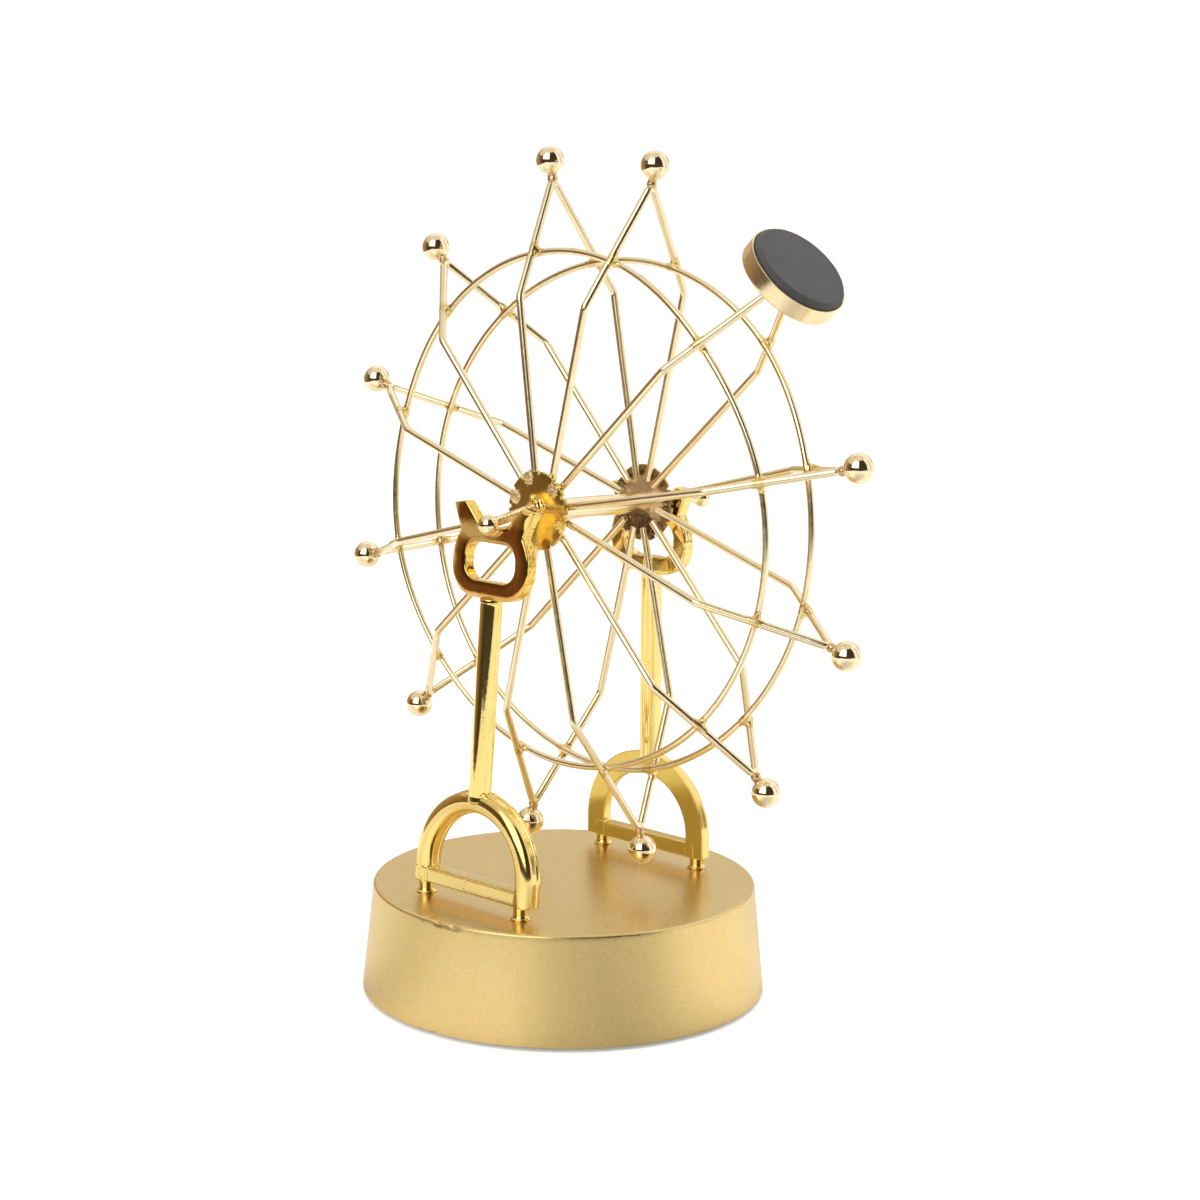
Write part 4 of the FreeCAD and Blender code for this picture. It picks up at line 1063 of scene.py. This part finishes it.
def weld_point(knee, tip, tip_y, side, table):
    rk, ak = knee[:2]
    re, ae = tip
    off = WIRE_R + RING_R - 0.08
    dy, dr = KNEE_Y - tip_y, re - rk
    ln = math.hypot(dr, dy)
    nr, ny = -dy / ln, dr / ln
    want = ring_radius(table, ak)
    rho = want - nr * off
    s = (rho - rk) / dr
    ang = ak + (ae - ak) * s
    y = KNEE_Y - dy * s - ny * off
    wire = polar(rho, ang, side * (KNEE_Y - dy * s))
    return ang % 360, polar(want, ang, side * y), wire


def periodic_spline(pts, count):
    pts = np.asarray(pts, float)
    n = len(pts)
    h = np.linalg.norm(np.roll(pts, -1, 0) - pts, axis=1)
    A = np.zeros((n, n))
    B = np.zeros((n, 3))
    for i in range(n):
        hp, hn = h[i - 1], h[i]
        A[i, i - 1] += hp
        A[i, i] += 2 * (hp + hn)
        A[i, (i + 1) % n] += hn
        B[i] = 6 * ((pts[(i + 1) % n] - pts[i]) / hn - (pts[i] - pts[i - 1]) / hp)
    M = np.linalg.solve(A, B)
    out = []
    per = count // n
    for i in range(n):
        j = (i + 1) % n
        for k in range(per):
            t = h[i] * k / per
            a, b = h[i] - t, t
            out.append((M[i] * a ** 3 + M[j] * b ** 3) / (6 * h[i])
                       + (pts[i] / h[i] - M[i] * h[i] / 6) * a + (pts[j] / h[i] - M[j] * h[i] / 6) * b)
    return np.array(out)


welds = {-1: [], 1: []}
runs = {}
for name, ball, kf, kr in SPOKES:
    tip = (ball[0] - TIP, ball[1])
    e = polar(tip[0], tip[1], 0)
    ends = [[wire_start(k, s), polar(k[0], k[1], s * KNEE_Y)] for s, k in ((-1, kf), (1, kr))]
    path = bent_path(ends[0] + [e] + ends[1][::-1], [3.2, 1.2, 3.2])
    runs[name] = (path, ends)
    v, f = tube(path, WIRE_R, 20)
    ob = add_mesh("wire_" + name, wheel_pts(v), f, sharp=40)
    put(ob, "wheel", mat_wire, ["spoke_" + name])
    welds[-1].append(weld_point(kf, tip, 0, -1, RING_FRONT) + (e, ends[0][1]))
    welds[1].append(weld_point(kr, tip, 0, 1, RING_REAR) + (e, ends[1][1]))
    # ball with its solder neck round the tip of the wire
    d = polar(1, ball[1], 0)
    prof = [(0, 3.5)] + [(3.5 * math.sin(t), 3.5 * math.cos(t)) for t in np.linspace(0.06, math.pi - 0.40, 40)]
    nk = len(prof)
    zl = prof[-1][1]
    prof += [(1.16, zl - 0.18), (1.04, zl - 0.42), (1.04, zl - 0.7), (1.14, zl - 1.0), (1.24, zl - 1.4),
             (1.14, zl - 1.85), (0.8, zl - 2.2), (0.4, zl - 2.36), (0, zl - 2.4)]
    v, f = lathe(prof, 48)
    c = 0.10 * wobble(v, 1.6, 11 + int(name)) * (v[:, 2] < zl - 0.1)
    rr = np.maximum(np.hypot(v[:, 0], v[:, 1]), 1e-6)
    v[:, 0] += v[:, 0] / rr * c
    v[:, 1] += v[:, 1] / rr * c
    mats = [1 if max(v[i][2] for i in q) <= zl + 0.01 else 0 for q in f]
    side_v = np.cross(d, (0, 1, 0))
    R = np.stack([side_v, np.array([0, 1.0, 0]), d], 1)
    if np.linalg.det(R) < 0:
        R[:, 0] *= -1
    v = v @ R.T + polar(ball[0], ball[1], 0)
    ob = add_mesh("ball_" + name, wheel_pts(v), f, sharp=55, face_mat=mats)
    put(ob, "wheel", [mat_ball, mat_neck], ["tip_ball_" + name])

# the spoke that carries the magnet
kf, kr = MAGNET_SPOKE
back = 82.9
tip_r = back - WIRE_R
mp = []
for s, k in ((-1, kf), (1, kr)):
    mp.append([wire_start(k, s), polar(k[0], k[1], s * KNEE_Y), polar(tip_r, 45.1, s * 3.0)])
path = bent_path(mp[0] + mp[1][::-1], [3.2, 2.0, 2.0, 3.2])
v, f = tube(path, WIRE_R, 20)
put(add_mesh("wire_12", wheel_pts(v), f, sharp=40), "wheel", mat_wire, ["spoke_12"])
welds[-1].append(weld_point(kf, (tip_r, 45.1), 3.0, -1, RING_FRONT) + (mp[0][2], mp[0][1]))
welds[1].append(weld_point(kr, (tip_r, 45.1), 3.0, 1, RING_REAR) + (mp[1][2], mp[1][1]))

# rings, and the solder at each crossing
for side, nm in ((-1, "front"), (1, "rear")):
    ws = sorted(welds[side], key=lambda q: q[0])
    curve = periodic_spline([w[1] for w in ws], 12 * 32)
    v, f = tube(curve, RING_R, 18, closed=True)
    # close the seam of the transported frame: the section is round, so the twist doesn't show
    ob = add_mesh("ring_" + nm, wheel_pts(v), f)
    put(ob, "wheel", mat_wire, [nm + "_ring"])
    parts = []
    for i, w in enumerate(ws):
        _, rp, wp, e, k = w
        near = np.argmin(np.linalg.norm(curve - rp, axis=1))
        td = curve[(near + 1) % len(curve)] - curve[near - 1]
        td /= np.linalg.norm(td)
        wd = (e - k) / np.linalg.norm(e - k)
        mid = (rp + wp) / 2

        def func(p, rp=rp, wp=wp, td=td, wd=wd, mid=mid, i=i):
            a = p - rp
            a = np.linalg.norm(a - (a @ td)[:, None] * td, axis=1) - RING_R
            b = p - wp
            b = np.linalg.norm(b - (b @ wd)[:, None] * wd, axis=1) - WIRE_R
            rho = np.linalg.norm(p - mid, axis=1)
            lump = 0.13 * wobble(p, 1.5, 40 + i + 20 * (side > 0))
            off = 0.17 * (1 - (rho / (2.15 + 0.25 * math.sin(i * 2.3))) ** 2)
            return smin(a, b, 1.15) - off - lump * np.clip(1 - rho / 2.6, 0, 1)
        vv, ff, nn = surface_net(lambda p, fu=func: np.maximum(fu(p), np.linalg.norm(p - ((rp + wp) / 2), axis=1) - 2.7),
                                 mid - 3.0, mid + 3.0, 0.17, passes=3, eps=0.02, n_eps=0.04)
        parts.append((vv, ff, nn))
    v, f, n, _ = merge(parts)
    ob = add_mesh("ring_joints_" + nm, wheel_pts(v), f, normals=n @ W_ROT.T)
    put(ob, "wheel", mat_solder)


# ---------------------------------------------------------------- hubs and axle
def build_hub(side):
    s = -1 if side == "front" else 1
    y0 = s * 18.8
    zc = rod_z(y0)
    angs = [k[2] for k in ([q[2] for q in SPOKES] + [MAGNET_SPOKE[0]] if s < 0
                           else [q[3] for q in SPOKES] + [MAGNET_SPOKE[1]])]
    along = (AX_R - AX_K) / np.linalg.norm(AX_R - AX_K)
    spots = [(-2.9, 7.7, 1.75, 0.75), (5.2, 5.5, 1.7, 0.75), (-7.2, 2.9, 1.65, 0.9), (7.3, -2.3, 1.2, 0.3),
             (-4.2, -6.8, 1.1, 0.25)] if s < 0 else \
            [(-3.0, 7.4, 1.6, 0.5), (5.8, 5.0, 1.6, 0.5), (-7.0, -3.4, 1.6, 0.5), (2.0, -7.7, 1.6, 0.5)]

    def func(p):
        x, y, z = p[:, 0], p[:, 1], p[:, 2] - zc
        r = np.hypot(x, z)
        t = (y - y0) * s            # outwards
        # slightly domed disc with a rolled edge
        dish = 0.10 - 0.26 * (r / 9.6) ** 2 + 0.022 * z
        q1 = r - (9.6 - 0.22)
        q2 = np.abs(t - 0.12 - dish * np.clip((t + 0.3) / 0.5, 0, 1)) - (0.55 - 0.22)
        f = np.hypot(np.maximum(q1, 0), np.maximum(q2, 0)) + np.minimum(np.maximum(q1, q2), 0) - 0.22
        rough = wobble(p, 0.9, 3)
        for cx, cz, rr, hh in spots:
            e = np.sqrt(((x - cx) ** 2 + (z - cz) ** 2) / rr ** 2 + ((t - 0.45) / hh) ** 2 + 1e-9)
            f = smin(f, (e - 1) * hh * 0.9 + 0.09 * rough, 0.12)
        # flux beside the wires on the inner face
        for i, a in enumerate(angs):
            ca, sa = math.cos(math.radians(a)), math.sin(math.radians(a))
            u, w = x * ca + z * sa, -x * sa + z * ca
            e = np.sqrt(((u - 8.1) / 1.25) ** 2 + (w / 1.45) ** 2 + ((t + 0.45) / 0.62) ** 2 + 1e-9)
            f = smin(f, (e - 1) * 0.62 + 0.10 * wobble(p, 1.2, 60 + i), 0.15)
        # notches in the rim between the wires
        order = sorted(a % 360 for a in angs)
        for i, a in enumerate(order):
            b = order[(i + 1) % len(order)] + (360 if i == len(order) - 1 else 0)
            if b - a < 16:
                continue
            c = math.radians((a + b) / 2 - 2.0)
            ca, sa = math.cos(c), math.sin(c)
            u, w = x * ca + z * sa, -x * sa + z * ca
            f = smax(f, -np.maximum(8.75 - u, np.abs(w) - 0.42), 0.12)
        if s < 0:
            # locknut with rounded shoulders, worn and soldered, a little above the middle
            rn0 = np.hypot(x, z - NUT_UP)
            a6 = np.arctan2(z - NUT_UP, x)
            rn = 2.55 + 0.07 * np.cos(6 * a6 + 0.6)
            for rr_, t0, t1, e_ in ((rn, 0.3, 1.15, 0.35), (rn - 0.45, 0.9, 1.95, 0.7)):
                q1, q2 = rn0 - (rr_ - e_), np.abs(t - (t0 + t1) / 2) - ((t1 - t0) / 2 + 0.25 - e_)
                nut = np.hypot(np.maximum(q1, 0), np.maximum(q2, 0)) + np.minimum(np.maximum(q1, q2), 0) - e_
                f = smin(f, nut + 0.04 * rough, 0.1)
            for k, (aa, rb) in enumerate(((118, 0.95), (10, 0.6), (-50, 0.7), (-85, 0.85), (170, 0.6))):
                bx, bz = 2.35 * math.cos(math.radians(aa)), NUT_UP + 2.35 * math.sin(math.radians(aa))
                e = np.sqrt((x - bx) ** 2 + (z - bz) ** 2 + ((t - 0.85) * 1.0) ** 2 + 1e-9)
                f = smin(f, e - rb + 0.06 * rough, 0.35)
        else:
            q1, q2 = r - (2.9 - 0.2), np.abs(t + 0.45) - (0.35 - 0.2)
            wsh = np.hypot(np.maximum(q1, 0), np.maximum(q2, 0)) + np.minimum(np.maximum(q1, q2), 0) - 0.2
            f = smin(f, wsh, 0.08)
            # hole for the rod
            d = p - np.array([0, y0, zc])
            d = np.linalg.norm(d - (d @ along)[:, None] * along, axis=1)
            f = smax(f, 1.2 - d, 0.08)
        return f
    lo = (-10.2, y0 - 2.6, zc - 10.2)
    hi = (10.2, y0 + 2.6, zc + 10.2)
    v, f, n = surface_net(func, lo, hi, 0.17, passes=4, eps=0.02, n_eps=0.05)
    fa = v[np.array(f)].mean(1)
    t = (fa[:, 1] - y0) * s
    r = np.hypot(fa[:, 0], fa[:, 2] - zc)
    idx = np.zeros(len(f), int)
    for cx, cz, rr, hh in spots:
        lift = 0.77 - 0.26 * (r / 9.6) ** 2 + 0.022 * (fa[:, 2] - zc) + 0.05
        idx[(np.hypot(fa[:, 0] - cx, fa[:, 2] - zc - cz) < rr * 1.15) & (t > lift) & (hh > 0.4)] = 1
    idx[(t < -0.5) & (r > 6.3)] = 2
    ob = add_mesh("hub_" + side, wheel_pts(v), f, normals=n @ W_ROT.T, face_mat=idx)
    put(ob, "wheel", [mat_hub_front if s < 0 else mat_hub_rear, mat_spot, mat_flux], [side + "_hub"])


NUT_UP = 0.9
for s in ("front", "rear"):
    build_hub(s)


def build_axle():
    sides = 28
    # threaded stub in front, plain rod behind
    top = np.array([0, -19.95, rod_z(-18.8) + NUT_UP - 0.03])
    path = bent_path([AX_F + np.array([0, 1.2, 0.22]), top, np.array([0, -18.2, rod_z(-18.2)]),
                      AX_R - np.array([0, 1.2, 0])], [0.8, 0.8], step=0.06, arc_n=14)
    keep = [0]
    acc = 0
    for i in range(1, len(path)):
        acc += np.linalg.norm(path[i] - path[i - 1])
        fine = path[i][1] < -19.5
        if acc > (0.055 if fine else 1.6):
            keep.append(i)
            acc = 0
    path = path[keep + [len(path) - 1]]
    tan, us, ws = frames_along(path)
    dist = np.concatenate([[0], np.cumsum(np.linalg.norm(np.diff(path, axis=0), axis=1))])
    ang = 2 * math.pi * np.arange(sides) / sides
    verts = []
    for i, p in enumerate(path):
        thread = p[1] < -19.0
        for k, a in enumerate(ang):
            r = 1.19
            if thread:
                ph = (dist[i] / 0.5 - a / (2 * math.pi)) % 1.0
                tri = 1 - abs(2 * ph - 1)
                lump = 0.5 * math.sin(3.1 * a + dist[i] * 5.3) + 0.5 * math.sin(5.0 * a - dist[i] * 11.7 + 1.3)
                r = 1.03 + 0.20 * min(1.0, tri * 1.3) + 0.07 * lump
            verts.append(p + us[i] * math.cos(a) * r + ws[i] * math.sin(a) * r)
    faces, mats = [], []
    for i in range(len(path) - 1):
        for k in range(sides):
            j = (k + 1) % sides
            faces.append([i * sides + k, i * sides + j, (i + 1) * sides + j, (i + 1) * sides + k])
            mats.append(1 if path[i][1] < -19.0 else 0)
    n = len(verts)
    verts += [path[0], path[-1]]
    e = (len(path) - 1) * sides
    for k in range(sides):
        j = (k + 1) % sides
        faces.append([k, n, j])
        faces.append([e + j, n + 1, e + k])
        mats += [1, 0]
    ob = add_mesh("axle", wheel_pts(np.array(verts)), faces, sharp=60, face_mat=mats)
    put(ob, "wheel", [mat_wire, mat_thread], ["axle_rod"])
    for nm, c, d in (("front", AX_F, AX_K - AX_F), ("rear", AX_R, AX_K - AX_R)):
        prof = [(0, -2.5)] + [(2.5 * math.sin(t), -2.5 * math.cos(t)) for t in np.linspace(0.08, math.pi - 0.52, 34)]
        z = prof[-1][1]
        prof += [(1.18, z + 0.05), (1.12, z + 0.02), (0.9, z - 0.02), (0, z - 0.02)]
        v, f = lathe(prof, 56, c, rot_to(d))
        ob = add_mesh("axle_end_" + nm, wheel_pts(v), f, sharp=50)
        put(ob, "wheel", mat_ball, ["axle_ball_" + nm])
    # spacer tube between the hubs
    a, b = np.array([0, -18.15, rod_z(-18.15)]), np.array([0, 18.15, rod_z(18.15)])
    L = np.linalg.norm(b - a)
    prof = rounded([(1.25, 0.0), (2.58, 0.0), (2.6, 0.3), (2.6, L - 0.3), (2.58, L), (1.25, L), (1.22, L - 1.0), (1.22, 1.0)],
                   [0.1, 0.1, 0.1, 0.1, 0.05, 0.05], 2)
    v, f = lathe(prof, 64, a, rot_to(b - a), closed=True)
    ob = add_mesh("spacer_tube", wheel_pts(v), f, sharp=40)
    put(ob, "wheel", mat_wire, ["hub_tube"])


build_axle()


# ---------------------------------------------------------------- magnet and cup
def build_magnet():
    d = polar(1, 45.1, 0)
    R = np.stack([np.cross((0, 1.0, 0), d), np.array([0, 1.0, 0]), d], 1)
    org = polar(back, 45.1, 0)
    prof = rounded([(0, 0), (12.75, 0), (12.75, 4.7), (12.3, 4.7), (12.26, 0.8), (0, 0.8)],
                   [1.1, 0.12, 0.12, 0.1], 6)
    v, f = lathe(prof, 144)
    a = np.arctan2(v[:, 1], v[:, 0])
    rr = np.hypot(v[:, 0], v[:, 1])
    v[:, 2] += 0.05 * np.sin(3 * a + 0.7) * (rr > 12) * (v[:, 2] > 4)
    ob = add_mesh("cup", wheel_pts(v @ R.T + org), f, sharp=50)
    put(ob, "wheel", mat_cup, ["magnet_cup"])
    # solder seam where the cup stands on its wire
    e0, e1 = polar(tip_r, 45.1, -2.2), polar(tip_r, 45.1, 2.2)

    def func(p):
        w = p - e0
        t = np.clip((w @ (e1 - e0)) / 19.36, 0, 1)
        dd = np.linalg.norm(w - t[:, None] * (e1 - e0), axis=1) - 0.98
        plane = back + 0.25 - p @ d
        return np.maximum(smin(dd, plane, 1.5) - 0.03 - 0.09 * wobble(p, 1.7, 77),
                          np.linalg.norm((p - (e0 + e1) / 2 - d * 0.7) * np.array([1, 0.62, 1]), axis=1) - 2.3)
    mid = (e0 + e1) / 2
    v, f, n = surface_net(func, mid - 4.4, mid + 4.4, 0.2, passes=3)
    put(add_mesh("cup_solder", wheel_pts(v), f, normals=n @ W_ROT.T), "wheel", mat_solder)
    prof = [(0, 0.8), (12.0, 0.8)]
    prof += rounded([(12.0, 0.8), (12.14, 0.95), (12.14, 5.25), (11.3, 6.2), (9, 6.2)], [0.1, 0.35, 0.4], 5)[1:-1]
    prof += [(r, 6.2) for r in (10.7, 9.6, 8, 6, 4, 2)] + [(0, 6.2)]
    v, f = lathe(prof, 144)
    ob = add_mesh("magnet", wheel_pts(v @ R.T + org), f, sharp=50)
    put(ob, "wheel", mat_ferrite, ["drive_magnet"])


build_magnet()

# ---------------------------------------------------------------- carried-over parts
CARRY = {
    mat_black: ["inner_chassis", "bottom_plate", "battery_cover", "board_posts"],
    mat_zinc: ["bottom_screws", "pin_nuts"],
    mat_rubber: ["rubber_pads"],
    mat_cell: ["battery_cells"],
    mat_contact: ["rear_contact_strip", "front_contact_tabs", "contact_springs"],
    mat_white: ["coil_bobbin"],
    mat_copper: ["drive_coil"],
    mat_board: ["circuit_board"],
    mat_device: ["transistor", "capacitor"],
    mat_lead: ["lead_wires"],
}
for m, names in CARRY.items():
    for nm in names:
        ob = NODES[nm]
        ob.data.materials.clear()
        ob.data.materials.append(m)
for nm in ("bottom_plate", "battery_cover", "bottom_screws"):
    ob = NODES[nm]
    w = ob.modifiers.new("weld", "WELD")
    w.merge_threshold = 1e-6
    b = ob.modifiers.new("edges", "BEVEL")
    b.width = 0.00018
    b.segments = 2
    b.limit_method = "ANGLE"
    b.angle_limit = math.radians(40)
    b.harden_normals = True

# ---------------------------------------------------------------- stage
CAM = np.array([433.891, -454.051, 211.220])
TO_CAM = math.degrees(math.atan2(CAM[1], CAM[0]))


def stage_mesh(name, verts, faces, mat):
    me = bpy.data.meshes.new(name)
    me.from_pydata([tuple(x * MM for x in p) for p in verts], [], faces)
    me.materials.append(mat)
    ob = bpy.data.objects.new(name, me)
    SCENE.collection.objects.link(ob)
    return ob


def camera_frame(x, y):
    """Point on the floor from camera-aligned coordinates: x towards the camera, y to its right."""
    a = math.radians(TO_CAM)
    return (x * math.cos(a) - y * math.sin(a), x * math.sin(a) + y * math.cos(a), 0.0)


fl = Mat("floor_white")
fl.set(color=fl.ramp(fl.noise(3.0, 2.0), [(0.3, (0.90, 0.90, 0.90)), (0.7, (0.93, 0.93, 0.93))]), rough=0.8, spec=0.1)
fl.b.inputs["Emission Color"].default_value = (1, 1, 1, 1)
fl.b.inputs["Emission Strength"].default_value = 0.34
# the table as the metal sees it: a painted shadow darkens it round the foot of the base, and painted reflections make
# it lighter in some directions and darker in others
ft = Mat("floor_mirrored")
fsep = ft.node("ShaderNodeSeparateXYZ")
ft.link(ft.co.outputs["Object"], fsep.inputs[0])
frad = ft.math("SQRT", ft.math("ADD", ft.math("MULTIPLY", fsep.outputs[0], fsep.outputs[0]),
                               ft.math("MULTIPLY", fsep.outputs[1], fsep.outputs[1])))
frad = ft.remap(frad, 0.14, 0.40, 0.0, 1.0, True)
faz = ft.math("SUBTRACT", ft.math("ARCTAN2", fsep.outputs[1], fsep.outputs[0]), math.radians(TO_CAM))
faz = ft.math("WRAP", faz, math.pi, -math.pi)
faz = ft.remap(faz, -math.pi, math.pi, 0.0, 1.0)
# painted reflections in the table: dark where it would mirror the dark opening, light where it would mirror the tent
stops = [(-180, 0.75), (-140, 0.78), (-108, 0.84), (-82, 0.66), (-56, 0.95), (-22, 0.98), (-2, 0.68), (20, 0.56),
         (44, 0.66), (70, 0.97), (105, 0.95), (150, 0.72), (180, 0.75)]
painted_floor_reflection = ft.ramp(faz, [((a + 180) / 360, (v, v * 0.985, v * 0.95)) for a, v in stops])
# near the base the painted shadow and reflections, farther out plain near-white
ft.set(color=ft.mix(frad, painted_floor_reflection, (0.97, 0.96, 0.94)), rough=0.9, spec=0.0)
wide = [(-9000, -9000, 0.0), (9000, -9000, 0.0), (9000, 9000, 0.0), (-9000, 9000, 0.0)]
floor_wide = stage_mesh("floor_wide", wide, [(0, 1, 2, 3)], fl.m)
for flag in ("visible_glossy", "visible_diffuse", "visible_transmission", "visible_shadow"):
    setattr(floor_wide, flag, False)
near = [tuple(np.array(camera_frame(*q)) - (0, 0, 0.05)) for q in ((720, -470), (720, 900), (-1500, 900), (-1500, -470))]
floor_near = stage_mesh("floor_table", near, [(0, 1, 2, 3)], ft.m)
floor_near.visible_camera = False

world = bpy.data.worlds.new("studio")
SCENE.world = world
world.use_nodes = True
wt = world.node_tree
wt.nodes.clear()


def wn(kind, **props):
    n = wt.nodes.new(kind)
    for k, v in props.items():
        setattr(n, k, v)
    return n


def wmath(op, a, b=None):
    n = wn("ShaderNodeMath", operation=op)
    for i, v in enumerate((a, b)):
        if v is None:
            continue
        if isinstance(v, (int, float)):
            n.inputs[i].default_value = v
        else:
            wt.links.new(v, n.inputs[i])
    return n.outputs[0]


def wstep(v, a, b):
    n = wn("ShaderNodeMapRange", interpolation_type="SMOOTHSTEP")
    wt.links.new(v, n.inputs[0])
    for i, x in enumerate((a, b, 0.0, 1.0)):
        n.inputs[i + 1].default_value = x
    return n.outputs[0]


wco = wn("ShaderNodeTexCoord")
wrot = wn("ShaderNodeVectorRotate", rotation_type="Z_AXIS")
wrot.inputs["Angle"].default_value = -math.radians(TO_CAM)
wt.links.new(wco.outputs["Generated"], wrot.inputs["Vector"])
wsep = wn("ShaderNodeSeparateXYZ")
wt.links.new(wrot.outputs[0], wsep.inputs[0])
W_AZ = wmath("MULTIPLY", wmath("ARCTAN2", wsep.outputs[1], wsep.outputs[0]), 180 / math.pi)
W_EL = wmath("MULTIPLY", wmath("ARCSINE", wsep.outputs[2]), 180 / math.pi)


def patch(az0, az1, el0, el1, soft=2.0, soft_el=None):
    """Mask of a patch of the surroundings; azimuth from the camera, positive to its right."""
    se = soft if soft_el is None else soft_el
    a = wmath("MULTIPLY", wstep(W_AZ, az0 - soft, az0 + soft), wstep(W_AZ, az1 + soft, az1 - soft))
    e = wmath("MULTIPLY", wstep(W_EL, el0 - se, el0 + se), wstep(W_EL, el1 + se, el1 - se))
    return wmath("MULTIPLY", a, e)


def wmix(fac, a, color):
    n = wn("ShaderNodeMix", data_type="RGBA")
    wt.links.new(fac, n.inputs[0])
    if isinstance(a, tuple):
        n.inputs[6].default_value = (*a, 1)
    else:
        wt.links.new(a, n.inputs[6])
    if isinstance(color, tuple):
        n.inputs[7].default_value = (*color, 1)
    else:
        wt.links.new(color, n.inputs[7])
    return n.outputs[2]


WHITE = (1.03, 1.03, 1.03)
sky = WHITE
# ceiling a little dimmer and warmer
sky = wmix(patch(-400, 400, 62, 120, 8), sky, (0.78, 0.74, 0.67))
# below the horizon, beyond the table: dark room in front, white sweep behind
sky = wmix(patch(-112, 66, -120, -3.0, 3, 3), sky, (0.055, 0.045, 0.035))
# dark opening towards the camera
sky = wmix(patch(-62, 60, -6, 12, 2), sky, (0.06, 0.05, 0.04))
sky = wmix(patch(-6, 59, 8, 66, 2.5), sky, (0.05, 0.04, 0.03))
# brown flat at the left, lighter towards the back
tone = wn("ShaderNodeValToRGB")
span = wn("ShaderNodeMapRange")
wt.links.new(W_AZ, span.inputs[0])
for i, x in enumerate((-172.0, -58.0, 0.0, 1.0)):
    span.inputs[i + 1].default_value = x
wt.links.new(span.outputs[0], tone.inputs[0])
els = tone.color_ramp.elements
while len(els) < 5:
    els.new(0.5)
for e, (pos, c) in zip(els, ((0.0, (0.56, 0.44, 0.29)), (0.28, (0.42, 0.29, 0.17)), (0.58, (0.31, 0.20, 0.115)),
                             (0.78, (0.15, 0.09, 0.05)), (1.0, (0.035, 0.022, 0.012)))):
    e.position = pos
    e.color = (*c, 1)
sky = wmix(patch(-150, -60, 20, 60, 8, 6), sky, (0.72, 0.66, 0.57))
sky = wmix(patch(-172, -58, -26, 28, 3.5), sky, tone.outputs[0])
# narrow dark edges of the tent
sky = wmix(patch(91, 96, -20, 50, 1.2), sky, (0.25, 0.16, 0.09))
sky = wmix(patch(128, 232, 8, 21, 8, 5), sky, (0.55, 0.45, 0.32))
sky = wmix(patch(-232, -140, 8, 21, 8, 5), sky, (0.55, 0.45, 0.32))
# main softbox, upper left of the camera
sky = wmix(patch(-62, -9, 9, 56, 1.6), sky, (2.0, 1.98, 1.94))
bg = wn("ShaderNodeBackground")
wt.links.new(sky, bg.inputs[0])
bg.inputs[1].default_value = 1.0
plain = wn("ShaderNodeBackground")
plain.inputs[0].default_value = (1, 1, 1, 1)
plain.inputs[1].default_value = 1.3
lp = wn("ShaderNodeLightPath")
wm = wn("ShaderNodeMixShader")
wt.links.new(lp.outputs["Is Camera Ray"], wm.inputs[0])
wt.links.new(bg.outputs[0], wm.inputs[1])
wt.links.new(plain.outputs[0], wm.inputs[2])
wo = wn("ShaderNodeOutputWorld")
wt.links.new(wm.outputs[0], wo.inputs[0])


def area(name, loc, size, power, aim=(0, 0, 90), color=(1, 1, 1), shape="RECTANGLE"):
    l = bpy.data.lights.new(name, "AREA")
    l.shape = shape
    l.size, l.size_y = size[0] * MM, size[1] * MM
    l.energy = power
    l.color = color
    ob = bpy.data.objects.new(name, l)
    ob.location = Vector(loc) * MM
    ob.rotation_euler = (Vector(aim) - Vector(loc)).to_track_quat("-Z", "Y").to_euler()
    SCENE.collection.objects.link(ob)
    return ob


top = area("overhead", (-150, 150, 1300), (1100, 1100), 9.0)
top.visible_glossy = False

# ---------------------------------------------------------------- camera
cam_data = bpy.data.cameras.new("camera")
cam = bpy.data.objects.new("camera", cam_data)
SCENE.collection.objects.link(cam)
SCENE.camera = cam
right = Vector((0.72976298, 0.6835511, 0.0142785))
down = Vector((0.13167671, -0.12002431, -0.9839997))
fwd = Vector((-0.67090031, 0.7199667, -0.17759706))
m = Matrix((right, -down, -fwd)).transposed().to_4x4()
m.translation = Vector(CAM.tolist()) * MM
cam.matrix_world = m
cam_data.sensor_width = 36.0
cam_data.lens = 78.36
cam_data.clip_start, cam_data.clip_end = 0.01, 50.0

SCENE.view_settings.view_transform = "Standard"
SCENE.view_settings.look = "None"
SCENE.view_settings.exposure = 0.0
